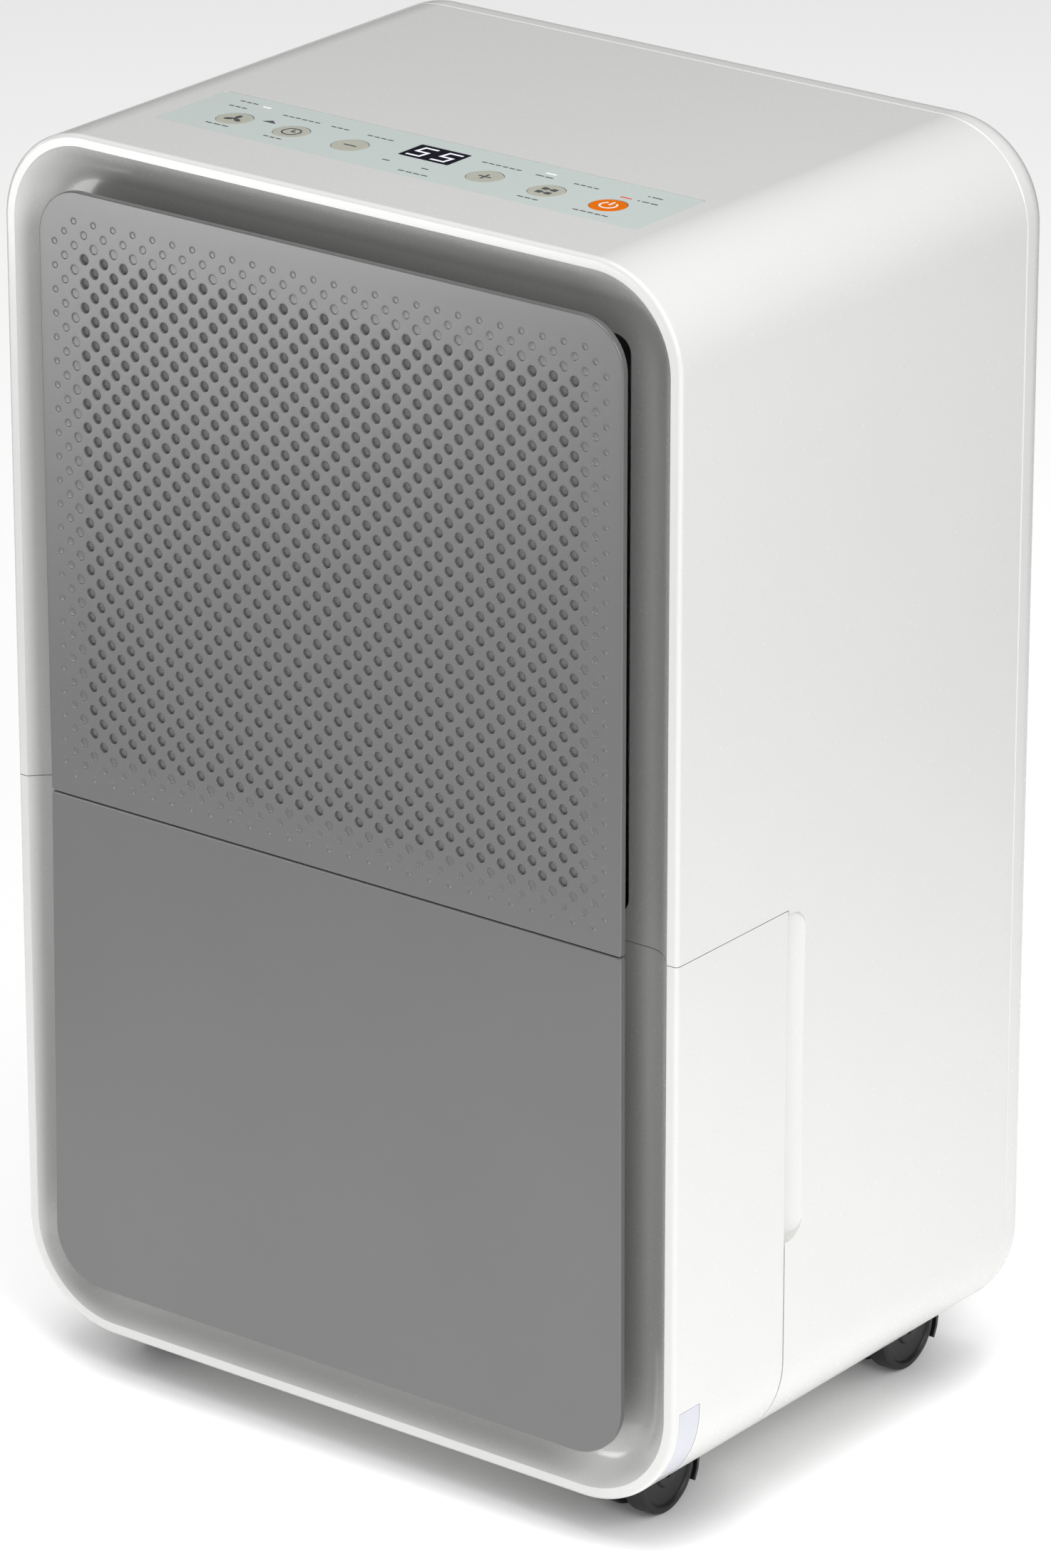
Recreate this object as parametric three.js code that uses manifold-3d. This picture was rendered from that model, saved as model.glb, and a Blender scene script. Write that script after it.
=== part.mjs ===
// Compressor dehumidifier on four twin-wheel casters, as an assembly of separate pieces.
//
// The model is built in the casing's own frame and lifted onto its casters at the end:
//   x  to the viewer's right, 0 on the centre plane
//   y  backwards, 0 on the plane of the front rim
//   z  up, 0 on the casing's underside
// Millimetres throughout.

import * as THREE from 'three';
import { mergeVertices } from 'three/addons/utils/BufferGeometryUtils.js';
import Module from 'manifold-3d';

const wasm = await Module();
wasm.setup();

// ---------------------------------------------------------------- driving dimensions

const HALF_W = 170;          // half the casing's width
const BODY_H = 528;          // casing height, underside to top face
const BODY_D = 250;          // casing depth, rim plane to rear face
const R_TOP = 42;            // radius of the two upper long edges
const R_BOTTOM = 46;         // radius of the two lower long edges
const CLEARANCE = 20;        // underside above the floor
const WALL = 2.5;            // moulded wall
const FIT = 0.3;             // gap left between pieces that touch

const RIM = 5.2;             // width of the flat front rim
const SEAM_H = 244;          // split between upper casing and water tank
const BASE_SEAM_H = 14;      // split between casing and base pan
const WING_D = 74.5;         // how far the tank cover's side wings reach back
const REAR_SEAM_D = 233;     // split between casing and rear cover
const REAR_ROUND = 12;       // rounding of the rear edges

const PANEL_HALF_W = 146.8;  // grey front panels
const PANEL_TOP = 506;
const PANEL_BOTTOM = 23.7;
const PANEL_PROUD = 5.9;     // upper panel's face in front of the rim plane
const PANEL_PROUD_LOW = 7.4; // lower panel's face at its bottom edge
const PANEL_T = 3.2;
const PANEL_R_TOP = 21;
const PANEL_R_BOTTOM = 24;

const COVE_D = 10.5;         // depth of the cove's floor behind the rim plane
const INTAKE_HALF_W = 138.3; // air intake opening in the cove floor
const INTAKE_BOTTOM = 254;
const INTAKE_TOP = 495;
const INTAKE_H = (INTAKE_BOTTOM + INTAKE_TOP) / 2;

const TANK_HALF_W = 150;     // water tank, wide part above the caster wells
const SUMP_HALF_W = 88;      // water tank, narrow part between the caster wells
const TANK_STEP_H = 44;
const TANK_BOTTOM = 9;
const TANK_TOP = 227;
const TANK_BACK = 128;
const TANK_WALL = 2;

const DECK_H = 233;          // underside of the deck between the tank and the air path
const COIL = { z0: 256, z1: 486 };
const FAN_H = 378;           // fan axis
const FAN_R = 94;
const DUCT_END = 143;        // rear end of the duct round the fan

const CASTER_X = 123.8;
const CASTER_Y = [46, 217];  // swivel axes, front and rear
const WHEEL_R = 18.5;
const TRAIL = 5;             // wheel axis in front of the swivel axis
const WELL_R = 27;

const OVERLAY = { x0: -121, x1: 120.5, y0: 36.5, y1: 82.5 };
const KEY_Y = 55.2;
const KEY_R = 7.7;
const KEYS = {
  fan_speed: -94.5, timer: -65.2, minus: -35.3, plus: 32.5, mode: 63.1, power: 93.3,
};
const DISPLAY = { x: -0.7, y: 65.7, w: 25, d: 16 };

// ---------------------------------------------------------------- solids

/** A closed THREE geometry as a manifold solid, turned outwards if it is inside out. */
function solid(geometry) {
  const bare = geometry.clone();
  for (const name of Object.keys(bare.attributes)) {
    if (name !== 'position') bare.deleteAttribute(name);
  }
  const merged = mergeVertices(bare, 1e-4);
  const position = merged.attributes.position;
  const faces = [];
  let volume = 0;
  const [a, b, c] = [new THREE.Vector3(), new THREE.Vector3(), new THREE.Vector3()];
  for (let i = 0; i < merged.index.count; i += 3) {
    const face = [0, 1, 2].map((k) => merged.index.getX(i + k));
    if (new Set(face).size < 3) continue;
    a.fromBufferAttribute(position, face[0]);
    b.fromBufferAttribute(position, face[1]);
    c.fromBufferAttribute(position, face[2]);
    volume += a.dot(b.cross(c));
    faces.push(face);
  }
  if (volume < 0) faces.forEach((face) => face.reverse());
  return new wasm.Manifold(new wasm.Mesh({
    numProp: 3,
    vertProperties: new Float32Array(position.array),
    triVerts: new Uint32Array(faces.flat()),
  }));
}

const join = (first, ...rest) => rest.reduce((all, piece) => all.add(piece), first);
const cut = (first, ...rest) => rest.reduce((all, piece) => all.subtract(piece), first);

/** Axis-aligned block between two corners. */
function block(x0, x1, y0, y1, z0, z1) {
  const geometry = new THREE.BoxGeometry(x1 - x0, y1 - y0, z1 - z0);
  geometry.translate((x0 + x1) / 2, (y0 + y1) / 2, (z0 + z1) / 2);
  return solid(geometry);
}

/** Extrudes a shape drawn in x and z from y0 to y1. */
function prismY(shape, y0, y1, curveSegments = 10) {
  const geometry = new THREE.ExtrudeGeometry(shape, {
    depth: y1 - y0, bevelEnabled: false, curveSegments,
  });
  geometry.rotateX(Math.PI / 2);
  geometry.translate(0, y1, 0);
  return solid(geometry);
}

/** Extrudes a shape drawn in x and y from z0 to z1. */
function prismZ(shape, z0, z1, curveSegments = 10) {
  const geometry = new THREE.ExtrudeGeometry(shape, {
    depth: z1 - z0, bevelEnabled: false, curveSegments,
  });
  geometry.translate(0, 0, z0);
  return solid(geometry);
}

/** Extrudes a shape drawn in y and z from x0 to x1. */
function prismX(shape, x0, x1, curveSegments = 10) {
  const geometry = new THREE.ExtrudeGeometry(shape, {
    depth: x1 - x0, bevelEnabled: false, curveSegments,
  });
  geometry.applyMatrix4(new THREE.Matrix4().makeBasis(
    new THREE.Vector3(0, 1, 0), new THREE.Vector3(0, 0, 1), new THREE.Vector3(1, 0, 0),
  ));
  geometry.translate(x0, 0, 0);
  return solid(geometry);
}

/** Turns a profile of [radius, distance along the axis] about x, y or z through the origin. */
function turned(profile, axis, sides = 24) {
  const points = profile.map(([r, t]) => new THREE.Vector2(r, t));
  const geometry = new THREE.LatheGeometry(points, sides);
  if (axis === 'x') geometry.rotateZ(-Math.PI / 2);
  if (axis === 'z') geometry.rotateX(Math.PI / 2);
  return solid(geometry);
}

/** Plain cylinder of radius r from t0 to t1 along an axis through the origin. */
const rod = (r, t0, t1, axis, sides = 24) => (
  turned([[0, t0], [r, t0], [r, t1], [0, t1]], axis, sides)
);

/** Ring between two radii from t0 to t1 along an axis through the origin. */
const ring = (r0, r1, t0, t1, axis, sides = 24) => (
  turned([[r0, t0], [r1, t0], [r1, t1], [r0, t1], [r0, t0]], axis, sides)
);

/** Round tube or bar along a smooth curve through the given points. */
function pipe(points, radius, steps, sides = 8) {
  const section = new THREE.Shape();
  section.absarc(0, 0, radius, 0, 2 * Math.PI, false);
  const curve = new THREE.CatmullRomCurve3(points.map((p) => new THREE.Vector3(...p)), false, 'centripetal');
  return solid(new THREE.ExtrudeGeometry(section, {
    extrudePath: curve, steps, bevelEnabled: false, curveSegments: sides / 2,
  }));
}

/** Rounded rectangle in two directions, with its own radius at each end of the second. */
function rounded(u0, u1, v0, v1, rLow, rHigh = rLow) {
  const shape = new THREE.Shape();
  const corner = (u, v, r, turn) => {
    if (r > 0) shape.absarc(u, v, r, turn, turn + Math.PI / 2, false);
    else shape.lineTo(u, v);
  };
  shape.moveTo(u0 + rLow, v0);
  corner(u1 - rLow, v0 + rLow, rLow, -Math.PI / 2);
  corner(u1 - rHigh, v1 - rHigh, rHigh, 0);
  corner(u0 + rHigh, v1 - rHigh, rHigh, Math.PI / 2);
  corner(u0 + rLow, v0 + rLow, rLow, Math.PI);
  return shape;
}

// ---------------------------------------------------------------- the casing's outline

const CORNER_STEPS = 7;

/** The casing's front outline pulled in by inset, as points [x, z] anticlockwise. */
function outline(inset) {
  const corners = [
    [HALF_W - R_BOTTOM, R_BOTTOM, R_BOTTOM, -90],
    [HALF_W - R_TOP, BODY_H - R_TOP, R_TOP, 0],
    [-HALF_W + R_TOP, BODY_H - R_TOP, R_TOP, 90],
    [-HALF_W + R_BOTTOM, R_BOTTOM, R_BOTTOM, 180],
  ];
  return corners.flatMap(([x, z, radius, start]) => (
    Array.from({ length: CORNER_STEPS + 1 }, (_, i) => {
      const turn = THREE.MathUtils.degToRad(start + (90 * i) / CORNER_STEPS);
      return [x + (radius - inset) * Math.cos(turn), z + (radius - inset) * Math.sin(turn)];
    })
  ));
}

const outlineShape = (inset) => new THREE.Shape(outline(inset).map(([x, z]) => new THREE.Vector2(x, z)));

/** Joins rings of equal length into faces; closed makes the last ring meet the first. */
function skin(rings, closed) {
  const count = rings[0].length;
  const position = rings.flat(2);
  const index = [];
  const last = closed ? rings.length : rings.length - 1;
  for (let i = 0; i < last; i += 1) {
    for (let k = 0; k < count; k += 1) {
      const a = i * count + k;
      const b = i * count + ((k + 1) % count);
      const c = ((i + 1) % rings.length) * count + ((k + 1) % count);
      const d = ((i + 1) % rings.length) * count + k;
      index.push(a, b, c, a, c, d);
    }
  }
  if (!closed) {
    const end = (rings.length - 1) * count;
    for (let k = 1; k < count - 1; k += 1) index.push(0, k + 1, k, end, end + k, end + k + 1);
  }
  const geometry = new THREE.BufferGeometry();
  geometry.setAttribute('position', new THREE.Float32BufferAttribute(position, 3));
  geometry.setIndex(index);
  return solid(geometry);
}

const outlineRing = ([inset, y]) => outline(inset).map(([x, z]) => [x, y, z]);

/** Sweeps a closed section of [inset, y] points round the casing's outline. */
const sweepSection = (section) => skin(section.map(outlineRing), true);

/** Fills the space between successive [inset, y] outlines. */
const loft = (section) => skin(section.map(outlineRing), false);

/** Quarter circle of [inset, y] points that rounds the rear edge, offset inwards by wall. */
function rearRound(wall) {
  const steps = 3;
  return Array.from({ length: steps + 1 }, (_, i) => {
    const turn = (Math.PI / 2) * (i / steps);
    const radius = REAR_ROUND - wall;
    return [
      REAR_ROUND - radius * Math.cos(turn),
      BODY_D - REAR_ROUND + radius * Math.sin(turn),
    ];
  });
}

const FAR = 400;
const above = (z) => block(-FAR, FAR, -FAR, FAR, z, FAR * 2);
const below = (z) => block(-FAR, FAR, -FAR, FAR, -FAR, z);

// ---------------------------------------------------------------- materials and nodes

const MATERIALS = {
  white: { color: 0xf0f0ee, roughness: 0.28 },
  grey: { color: 0x828381, roughness: 0.42 },
  overlay: { color: 0xdae2e0, roughness: 0.35 },
  key: { color: 0xc8c8be, roughness: 0.4 },
  orange: { color: 0xe1781a, roughness: 0.4 },
  lens: { color: 0x1c1b26, roughness: 0.12 },
  window: { color: 0xd7d7de, roughness: 0.2 },
  tank: { color: 0xdfe6ea, roughness: 0.25 },
  inner: { color: 0xb9bbb8, roughness: 0.55 },
  black: { color: 0x232323, roughness: 0.45 },
  rubber: { color: 0x1b1b1b, roughness: 0.8 },
  steel: { color: 0xb4b7ba, roughness: 0.35, metalness: 0.9 },
  painted: { color: 0x26282b, roughness: 0.5, metalness: 0.3 },
  copper: { color: 0xb86f4a, roughness: 0.35, metalness: 0.9 },
  fin: { color: 0xc6cacc, roughness: 0.4, metalness: 0.8 },
  board: { color: 0x2f6b46, roughness: 0.6 },
  foam: { color: 0xe8e4d8, roughness: 0.9 },
  net: { color: 0x5d5f60, roughness: 0.8 },
};

const machine = new THREE.Group();
const casing = new THREE.Group();
casing.position.set(0, (PANEL_PROUD_LOW - BODY_D) / 2, CLEARANCE);
machine.add(casing);

/** Adds a solid to the group as a named mesh with a material of its own. */
function addPiece(name, piece, look, group = casing) {
  const { vertProperties, triVerts } = piece.getMesh();
  const geometry = new THREE.BufferGeometry();
  geometry.setAttribute('position', new THREE.BufferAttribute(new Float32Array(vertProperties), 3));
  geometry.setIndex(new THREE.BufferAttribute(new Uint32Array(triVerts), 1));
  geometry.computeVertexNormals();
  const mesh = new THREE.Mesh(geometry, new THREE.MeshStandardMaterial(MATERIALS[look]));
  mesh.name = name;
  group.add(mesh);
  return mesh;
}

// ---------------------------------------------------------------- casing

/** Front rim and cove, shared by the upper casing and the tank cover below it. */
const RIM_DEPTH = 12;
const EDGE = 1.6;            // chamfer of the rim's outer edge
const COVE_FRONT = [[RIM + FIT, 0.8], [9.6, 4.7], [14.6, 8.6], [20.8, COVE_D]];
const COVE_BACK = [[20.8, COVE_D + WALL], [13.2, 11.2], [7.6, 7.2], [RIM + FIT, 4]];

/** Finger recess behind a wing's rear edge. */
const RECESS = { y0: 62, y1: 86.1, z0: 98.2, z1: 242, depth: 13, round: 9 };

function recessShape(grow) {
  const shape = new THREE.Shape();
  const inner = HALF_W - RECESS.depth - grow;
  const back = RECESS.y1 + grow;
  const front = RECESS.y0 - grow;
  const r = RECESS.round;
  shape.moveTo(HALF_W + 5 - grow * 5, front);
  shape.lineTo(HALF_W + 5 - grow * 5, back);
  shape.lineTo(inner + r, back);
  shape.absarc(inner + r, back - r, r, Math.PI / 2, Math.PI, false);
  shape.lineTo(inner, front);
  return shape;
}

function mirroredX(piece) {
  return piece.mirror([1, 0, 0]);
}

function mainHousing() {
  const shell = sweepSection([
    [0, REAR_SEAM_D], [0, EDGE], [EDGE, 0], [RIM, 0], [RIM, RIM_DEPTH],
    [WALL, RIM_DEPTH + 3], [WALL, REAR_SEAM_D],
  ]);
  const wingSpace = block(-FAR, FAR, -FAR, WING_D + FIT, -FAR, SEAM_H + FIT / 2);
  const pocketOuter = prismZ(recessShape(1.5), RECESS.z0 - 1.5, RECESS.z1 + 1.5, 5)
    .intersect(block(0, HALF_W - WALL - 0.5, -FAR, WING_D + FIT, 0, FAR)
      .add(block(0, HALF_W - 0.5, WING_D + FIT, FAR, 0, FAR)));
  const pocketInner = prismZ(recessShape(0), RECESS.z0, RECESS.z1, 5);
  const keyPlate = block(OVERLAY.x0 - 3, OVERLAY.x1 + 3, OVERLAY.y0 - 3, OVERLAY.y1 + 3,
    BODY_H - 4.5, BODY_H - WALL + 0.1);
  const overlayPocket = block(OVERLAY.x0 - FIT, OVERLAY.x1 + FIT, OVERLAY.y0 - FIT,
    OVERLAY.y1 + FIT, BODY_H - 1.8, BODY_H + 1);
  const stemHoles = Object.values(KEYS).map((x) => (
    rod(3.6, BODY_H - 6, BODY_H, 'z', 8).translate([x, KEY_Y, 0])));
  const displayHole = block(DISPLAY.x - 11, DISPLAY.x + 11, DISPLAY.y - 6.5, DISPLAY.y + 6.5,
    BODY_H - 6, BODY_H);
  const cutShell = shell.subtract(wingSpace).subtract(below(BASE_SEAM_H));
  const walls = join(cutShell, pocketOuter, mirroredX(pocketOuter), keyPlate);
  return cut(walls, pocketInner, mirroredX(pocketInner), overlayPocket, displayHole, ...stemHoles);
}

function intakeBezel() {
  const floorEdge = 27;
  const section = [
    ...COVE_FRONT, [floorEdge, COVE_D], [floorEdge, COVE_D + WALL], ...COVE_BACK,
  ];
  const plate = prismY(outlineShape(floorEdge - 1), COVE_D, COVE_D + WALL);
  const opening = prismY(
    rounded(-INTAKE_HALF_W, INTAKE_HALF_W, INTAKE_BOTTOM, INTAKE_TOP, 8), 0, 20, 4);
  return sweepSection(section).add(plate).subtract(opening).subtract(below(SEAM_H + FIT / 2));
}

const OUTLET = { z0: 262, z1: 500 };

function rearCover() {
  const inset = REAR_ROUND + 10;
  const shell = sweepSection([
    [0, REAR_SEAM_D + FIT], ...rearRound(0), [inset, BODY_D], [inset, BODY_D - WALL],
    ...rearRound(WALL).reverse(), [WALL, REAR_SEAM_D + FIT],
  ]);
  const plate = prismY(outlineShape(inset - 1), BODY_D - WALL, BODY_D);
  const grilleHole = block(-108, 108, BODY_D - 20, BODY_D + 5, OUTLET.z0, OUTLET.z1);
  const drainHole = rod(11, BODY_D - 20, BODY_D + 5, 'y', 20).translate([DRAIN.x, 0, DRAIN.z]);
  const cordHole = rod(9, BODY_D - 20, BODY_D + 5, 'y', 16).translate([CORD.x, 0, CORD.z]);
  return cut(shell.add(plate), grilleHole, drainHole, cordHole, below(BASE_SEAM_H + FIT));
}

/** Louvred air outlet: a frame, sloping slats and one upright rib. */
function rearGrille() {
  const { z0, z1 } = OUTLET;
  const count = 10;
  const frame = cut(
    block(-107.7, 107.7, 245.4, 249.8, z0 + FIT, z1 - FIT),
    block(-101, 101, 240, 255, z0 + 7, z1 - 7));
  const slats = Array.from({ length: count }, (_, i) => {
    const slat = new THREE.BoxGeometry(203, 4.4, 1.6);
    slat.rotateX(THREE.MathUtils.degToRad(-32));
    slat.translate(0, 247.6, z0 + 7 + ((i + 0.5) * (z1 - z0 - 14)) / count);
    return solid(slat);
  });
  const rib = block(-1.2, 1.2, 245.4, 247, z0 + 6, z1 - 6);
  return join(frame, ...slats, rib);
}

/** Swivel axes of the four casters. */
function wellPlaces() {
  return CASTER_Y.flatMap((y) => [[CASTER_X, y], [-CASTER_X, y]]);
}

function basePan() {
  const hull = loft([[0, 14 + FIT], ...rearRound(0)]);
  const hollow = loft([[WALL, 17 + FIT], ...rearRound(WALL)]);
  const tray = hull.subtract(hollow).subtract(above(BASE_SEAM_H - FIT));
  const frontPass = block(-SUMP_HALF_W - 8, SUMP_HALF_W + 8, 0, 19, TANK_BOTTOM - 2, 20);
  const roof = 24;
  const cups = wellPlaces().map(([x, y]) => join(
    rod(WELL_R + 1.2, 0.5, roof + 2, 'z', 18), rod(7, roof, roof + 15.5, 'z', 9),
  ).translate([x, y, 0]).intersect(hull));
  const voids = wellPlaces().map(([x, y]) => join(
    rod(WELL_R, -5, roof, 'z', 18), rod(4.6, roof - 1, roof + 14.5, 'z', 12),
  ).translate([x, y, 0]));
  const rails = [-60, 60].map((x) => block(x - 2, x + 2, 20, TANK_BACK, 1, TANK_BOTTOM - FIT));
  const pad = ring(34, 48, 1, 8, 'z', 20).translate([COMPRESSOR.x, COMPRESSOR.y, 0]);
  return cut(join(tray.subtract(frontPass), ...cups, ...rails, pad), ...voids);
}

// ---------------------------------------------------------------- front panels and filter

const GRILLE_SKIN = 1.2;     // the upper panel where it is perforated

/** Upper grey panel: a plate thinned from behind, with a lattice of diamond openings. */
function frontGrille() {
  const plate = prismY(
    rounded(-PANEL_HALF_W, PANEL_HALF_W, SEAM_H + 0.4, PANEL_TOP, 0, PANEL_R_TOP),
    -PANEL_PROUD, -PANEL_PROUD + PANEL_T, 7);
  const pitch = 48;
  const half = 16;
  const holes = [];
  for (let row = 0; row <= 8; row += 1) {
    const shift = (row % 2) / 2;
    const count = row % 2 ? 4 : 5;
    for (let i = 0; i < count; i += 1) {
      const x = (i - 2 + shift) * pitch;
      const z = INTAKE_H + (row - 4) * (pitch / 2);
      const diamond = new THREE.Shape([
        new THREE.Vector2(x + half, z), new THREE.Vector2(x, z + half),
        new THREE.Vector2(x - half, z), new THREE.Vector2(x, z - half),
      ]);
      holes.push(prismY(diamond, -10, 0));
    }
  }
  const thinned = block(-131, 131, -PANEL_PROUD + GRILLE_SKIN, 0, INTAKE_BOTTOM + 5, INTAKE_TOP - 5);
  return cut(plate, thinned, ...holes);
}

const NET_Y0 = -PANEL_PROUD + GRILLE_SKIN + FIT;
const NET_Y1 = NET_Y0 + 0.8;

/** Frame with six bays that holds the net against the grey panel. */
function filterFrame() {
  const front = NET_Y1 + FIT;
  const outer = block(-130, 130, front, 8, INTAKE_BOTTOM + 6, INTAKE_TOP - 6);
  const bays = [-85, 0, 85].flatMap((x) => [-56, 56].map((up) => (
    block(x - 40, x + 40, front - 1, 9, INTAKE_H + up - 54.5, INTAKE_H + up + 54.5))));
  return cut(outer, ...bays);
}

const filterMesh = () => block(-129, 129, NET_Y0, NET_Y1, INTAKE_BOTTOM + 7, INTAKE_TOP - 7);

/** Lower panel's lean: it comes forward and widens a little towards its bottom edge. */
function leaned(piece) {
  const span = SEAM_H - PANEL_BOTTOM;
  return piece.warp((p) => {
    const down = (SEAM_H - p[2]) / span;
    p[0] *= 1 + (0.0136 * down);
    p[1] -= (PANEL_PROUD_LOW - PANEL_PROUD) * down;
  });
}

const tankPanel = () => leaned(prismY(
  rounded(-PANEL_HALF_W, PANEL_HALF_W, PANEL_BOTTOM, SEAM_H, PANEL_R_BOTTOM, 0),
  -PANEL_PROUD, -PANEL_PROUD + PANEL_T, 8));

// ---------------------------------------------------------------- water tank

const STRIP = { y0: 3.6, y1: 17.4, z0: 15.5, z1: 48.6 };

const stripBand = (outerInset, innerInset, grow) => sweepSection([
  [outerInset, STRIP.y0 - grow], [innerInset, STRIP.y0 - grow],
  [innerInset, STRIP.y1 + grow], [outerInset, STRIP.y1 + grow],
]).intersect(block(0, FAR, -FAR, FAR, STRIP.z0 - grow, STRIP.z1 + grow));

function tankCover() {
  const ringBack = 14;
  const rim = sweepSection([
    [0, ringBack], [0, EDGE], [EDGE, 0], [RIM + FIT, 0.4], ...COVE_FRONT.slice(1),
    [26, COVE_D], [26, COVE_D + WALL], ...COVE_BACK.slice(0, 3), [WALL, ringBack],
  ]);
  const plate = prismY(outlineShape(25), COVE_D, COVE_D + WALL);
  const wings = sweepSection([[0, 8], [0, WING_D], [WALL, WING_D], [WALL, 8]])
    .subtract(below(BASE_SEAM_H));
  const rib = leaned(prismY(rounded(-118, 118, 48, 228, 12), -PANEL_PROUD + PANEL_T + FIT, COVE_D + 1, 4)
    .subtract(prismY(rounded(-115.5, 115.5, 50.5, 225.5, 9.5), -20, COVE_D + 5, 4)));
  const cover = join(rim, plate, wings, rib.subtract(block(-FAR, FAR, COVE_D + 1, 50, 0, FAR)));
  const band = stripBand(-1, 1.5, 0);
  return cut(cover, above(SEAM_H - FIT / 2), band, mirroredX(band));
}

const tankStrip = () => stripBand(0.05, 1.2, -FIT);

/** The tank's stepped front outline, inset by the wall for its inside. */
function tankShape(inset, top) {
  const wide = TANK_HALF_W - inset;
  const narrow = SUMP_HALF_W - inset;
  const points = [
    [-narrow, TANK_BOTTOM + inset], [narrow, TANK_BOTTOM + inset], [narrow, TANK_STEP_H + inset],
    [wide, TANK_STEP_H + inset], [wide, top], [-wide, top],
    [-wide, TANK_STEP_H + inset], [-narrow, TANK_STEP_H + inset],
  ];
  return new THREE.Shape(points.map(([x, z]) => new THREE.Vector2(x, z)));
}

const FLOAT = { y: 98, z: 146, x0: 124, x1: 136 };

function tankBucket() {
  const front = COVE_D + WALL + FIT;
  const outer = prismY(tankShape(0, TANK_TOP), front, TANK_BACK);
  const inner = prismY(tankShape(TANK_WALL, TANK_TOP + 5), front + TANK_WALL, TANK_BACK - TANK_WALL);
  const pin = rod(2.5, FLOAT.x0 - 4, TANK_HALF_W - 1, 'x', 8).translate([0, FLOAT.y, FLOAT.z]);
  return outer.subtract(inner).add(pin);
}

function tankLid() {
  const z0 = TANK_TOP + FIT;
  const back = TANK_BACK - 3;
  const slab = block(-TANK_HALF_W, TANK_HALF_W, COVE_D + WALL + FIT, TANK_BACK, z0, z0 + 2);
  const inlet = block(-28, 28, 44, 78, z0 - 1, z0 + 5);
  const spout = prismZ(rounded(100, 140, 20, 44, 8), z0 - 1, z0 + 5, 4);
  const lips = [-TANK_HALF_W + 2.5, TANK_HALF_W - 4.5].map((x) => (
    block(x, x + 2, 20, back, z0 - 5, z0 + 0.5)));
  return join(slab, ...lips).subtract(inlet).subtract(spout);
}

/** Foam float on a lever that swings on the tank's pin. */
function tankFloat() {
  const boss = ring(2.5 + FIT, 6, FLOAT.x0, FLOAT.x1, 'x', 16);
  const arm = block(FLOAT.x0 + 3, FLOAT.x1 - 3, -30, -5, -2.5, 2.5);
  const body = prismX(rounded(-62, -28, -11, 11, 6), FLOAT.x0 - 8, FLOAT.x1 + 6, 4);
  return join(boss, arm, body).translate([0, FLOAT.y, FLOAT.z]);
}

// ---------------------------------------------------------------- controls on the top face

function controlOverlay() {
  const sheet = block(OVERLAY.x0, OVERLAY.x1, OVERLAY.y0, OVERLAY.y1, BODY_H - 1.5, BODY_H - 0.1);
  const holes = Object.values(KEYS).map((x) => (
    rod(KEY_R + FIT, BODY_H - 3, BODY_H + 1, 'z', 18).translate([x, KEY_Y, 0])));
  const { x, y, w, d } = DISPLAY;
  const window = block(x - w / 2 - FIT, x + w / 2 + FIT, y - d / 2 - FIT, y + d / 2 + FIT,
    BODY_H - 3, BODY_H + 1);
  return cut(sheet, window, ...holes);
}

const BOARD_TOP = BODY_H - 10;

const keyCap = (x) => turned([
  [0, BOARD_TOP + 0.8], [3, BOARD_TOP + 0.8], [3, BODY_H - 1.1], [KEY_R, BODY_H - 1.1],
  [KEY_R, BODY_H - 0.1], [0, BODY_H - 0.1],
], 'z', 18).translate([x, KEY_Y, 0]);

function displayLens() {
  const { x, y, w, d } = DISPLAY;
  return block(x - w / 2, x + w / 2, y - d / 2, y + d / 2, BODY_H - 1.5, BODY_H - 0.1);
}

function controlBoard() {
  const board = block(-115, 115, 40, 80, BOARD_TOP - 1.6, BOARD_TOP);
  const { x, y } = DISPLAY;
  const digits = block(x - 10.5, x + 10.5, y - 6, y + 6, BOARD_TOP - 0.5, BODY_H - 2.4);
  const posts = [-111, 111].flatMap((px) => [44, 76].map((py) => (
    block(px - 2.5, px + 2.5, py - 2.5, py + 2.5, BOARD_TOP - 0.5, BODY_H - 4.5 - FIT))));
  return join(board, digits, ...posts);
}

// ---------------------------------------------------------------- refrigeration and air

const COMPRESSOR = { x: -35, y: 190, r: 45, top: 215 };
const TRAY_H = DECK_H + 3 + FIT;
const DRAIN = { x: 100, z: TRAY_H + 5.2 };
const CORD = { x: -112, z: 48 };

function chassisFrame() {
  const deck = block(-153, 153, 15, TANK_BACK + 6, DECK_H, DECK_H + 3);
  const spoutHole = block(-11, 11, 49, 71, DECK_H - 5, DECK_H + 8);
  const partition = block(-132, 132, TANK_BACK + 3, TANK_BACK + 6, BASE_SEAM_H - 4, DECK_H + 1);
  return deck.add(partition).subtract(spoutHole);
}

function dripTray() {
  const bore = block(-7, 7, 53, 67, TRAY_H - 10, TRAY_H + 10);
  const tray = block(-140, 140, 24, 88, TRAY_H, TRAY_H + 15)
    .subtract(block(-138, 138, 26, 86, TRAY_H + 2, TRAY_H + 20));
  const spout = block(-9, 9, 51, 69, TRAY_H - 4.8, TRAY_H + 2.5);
  return tray.add(spout).subtract(bore);
}

/** Finned coil: a core block with upright fins on both faces and a plate at each end. */
function finnedCoil(y0, y1) {
  const middle = (y0 + y1) / 2;
  const fins = Array.from({ length: 11 }, (_, i) => {
    const x = (i - 5) * 20;
    return block(x - 1, x + 1, y0, y1, COIL.z0, COIL.z1);
  });
  const core = block(-122, 122, middle - 4, middle + 4, COIL.z0, COIL.z1);
  const ends = [-122, 120].map((x) => (
    block(x, x + 2, y0, y1, TRAY_H + 2 + FIT, COIL.z1 + 1)));
  return join(core, ...fins, ...ends);
}

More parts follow.
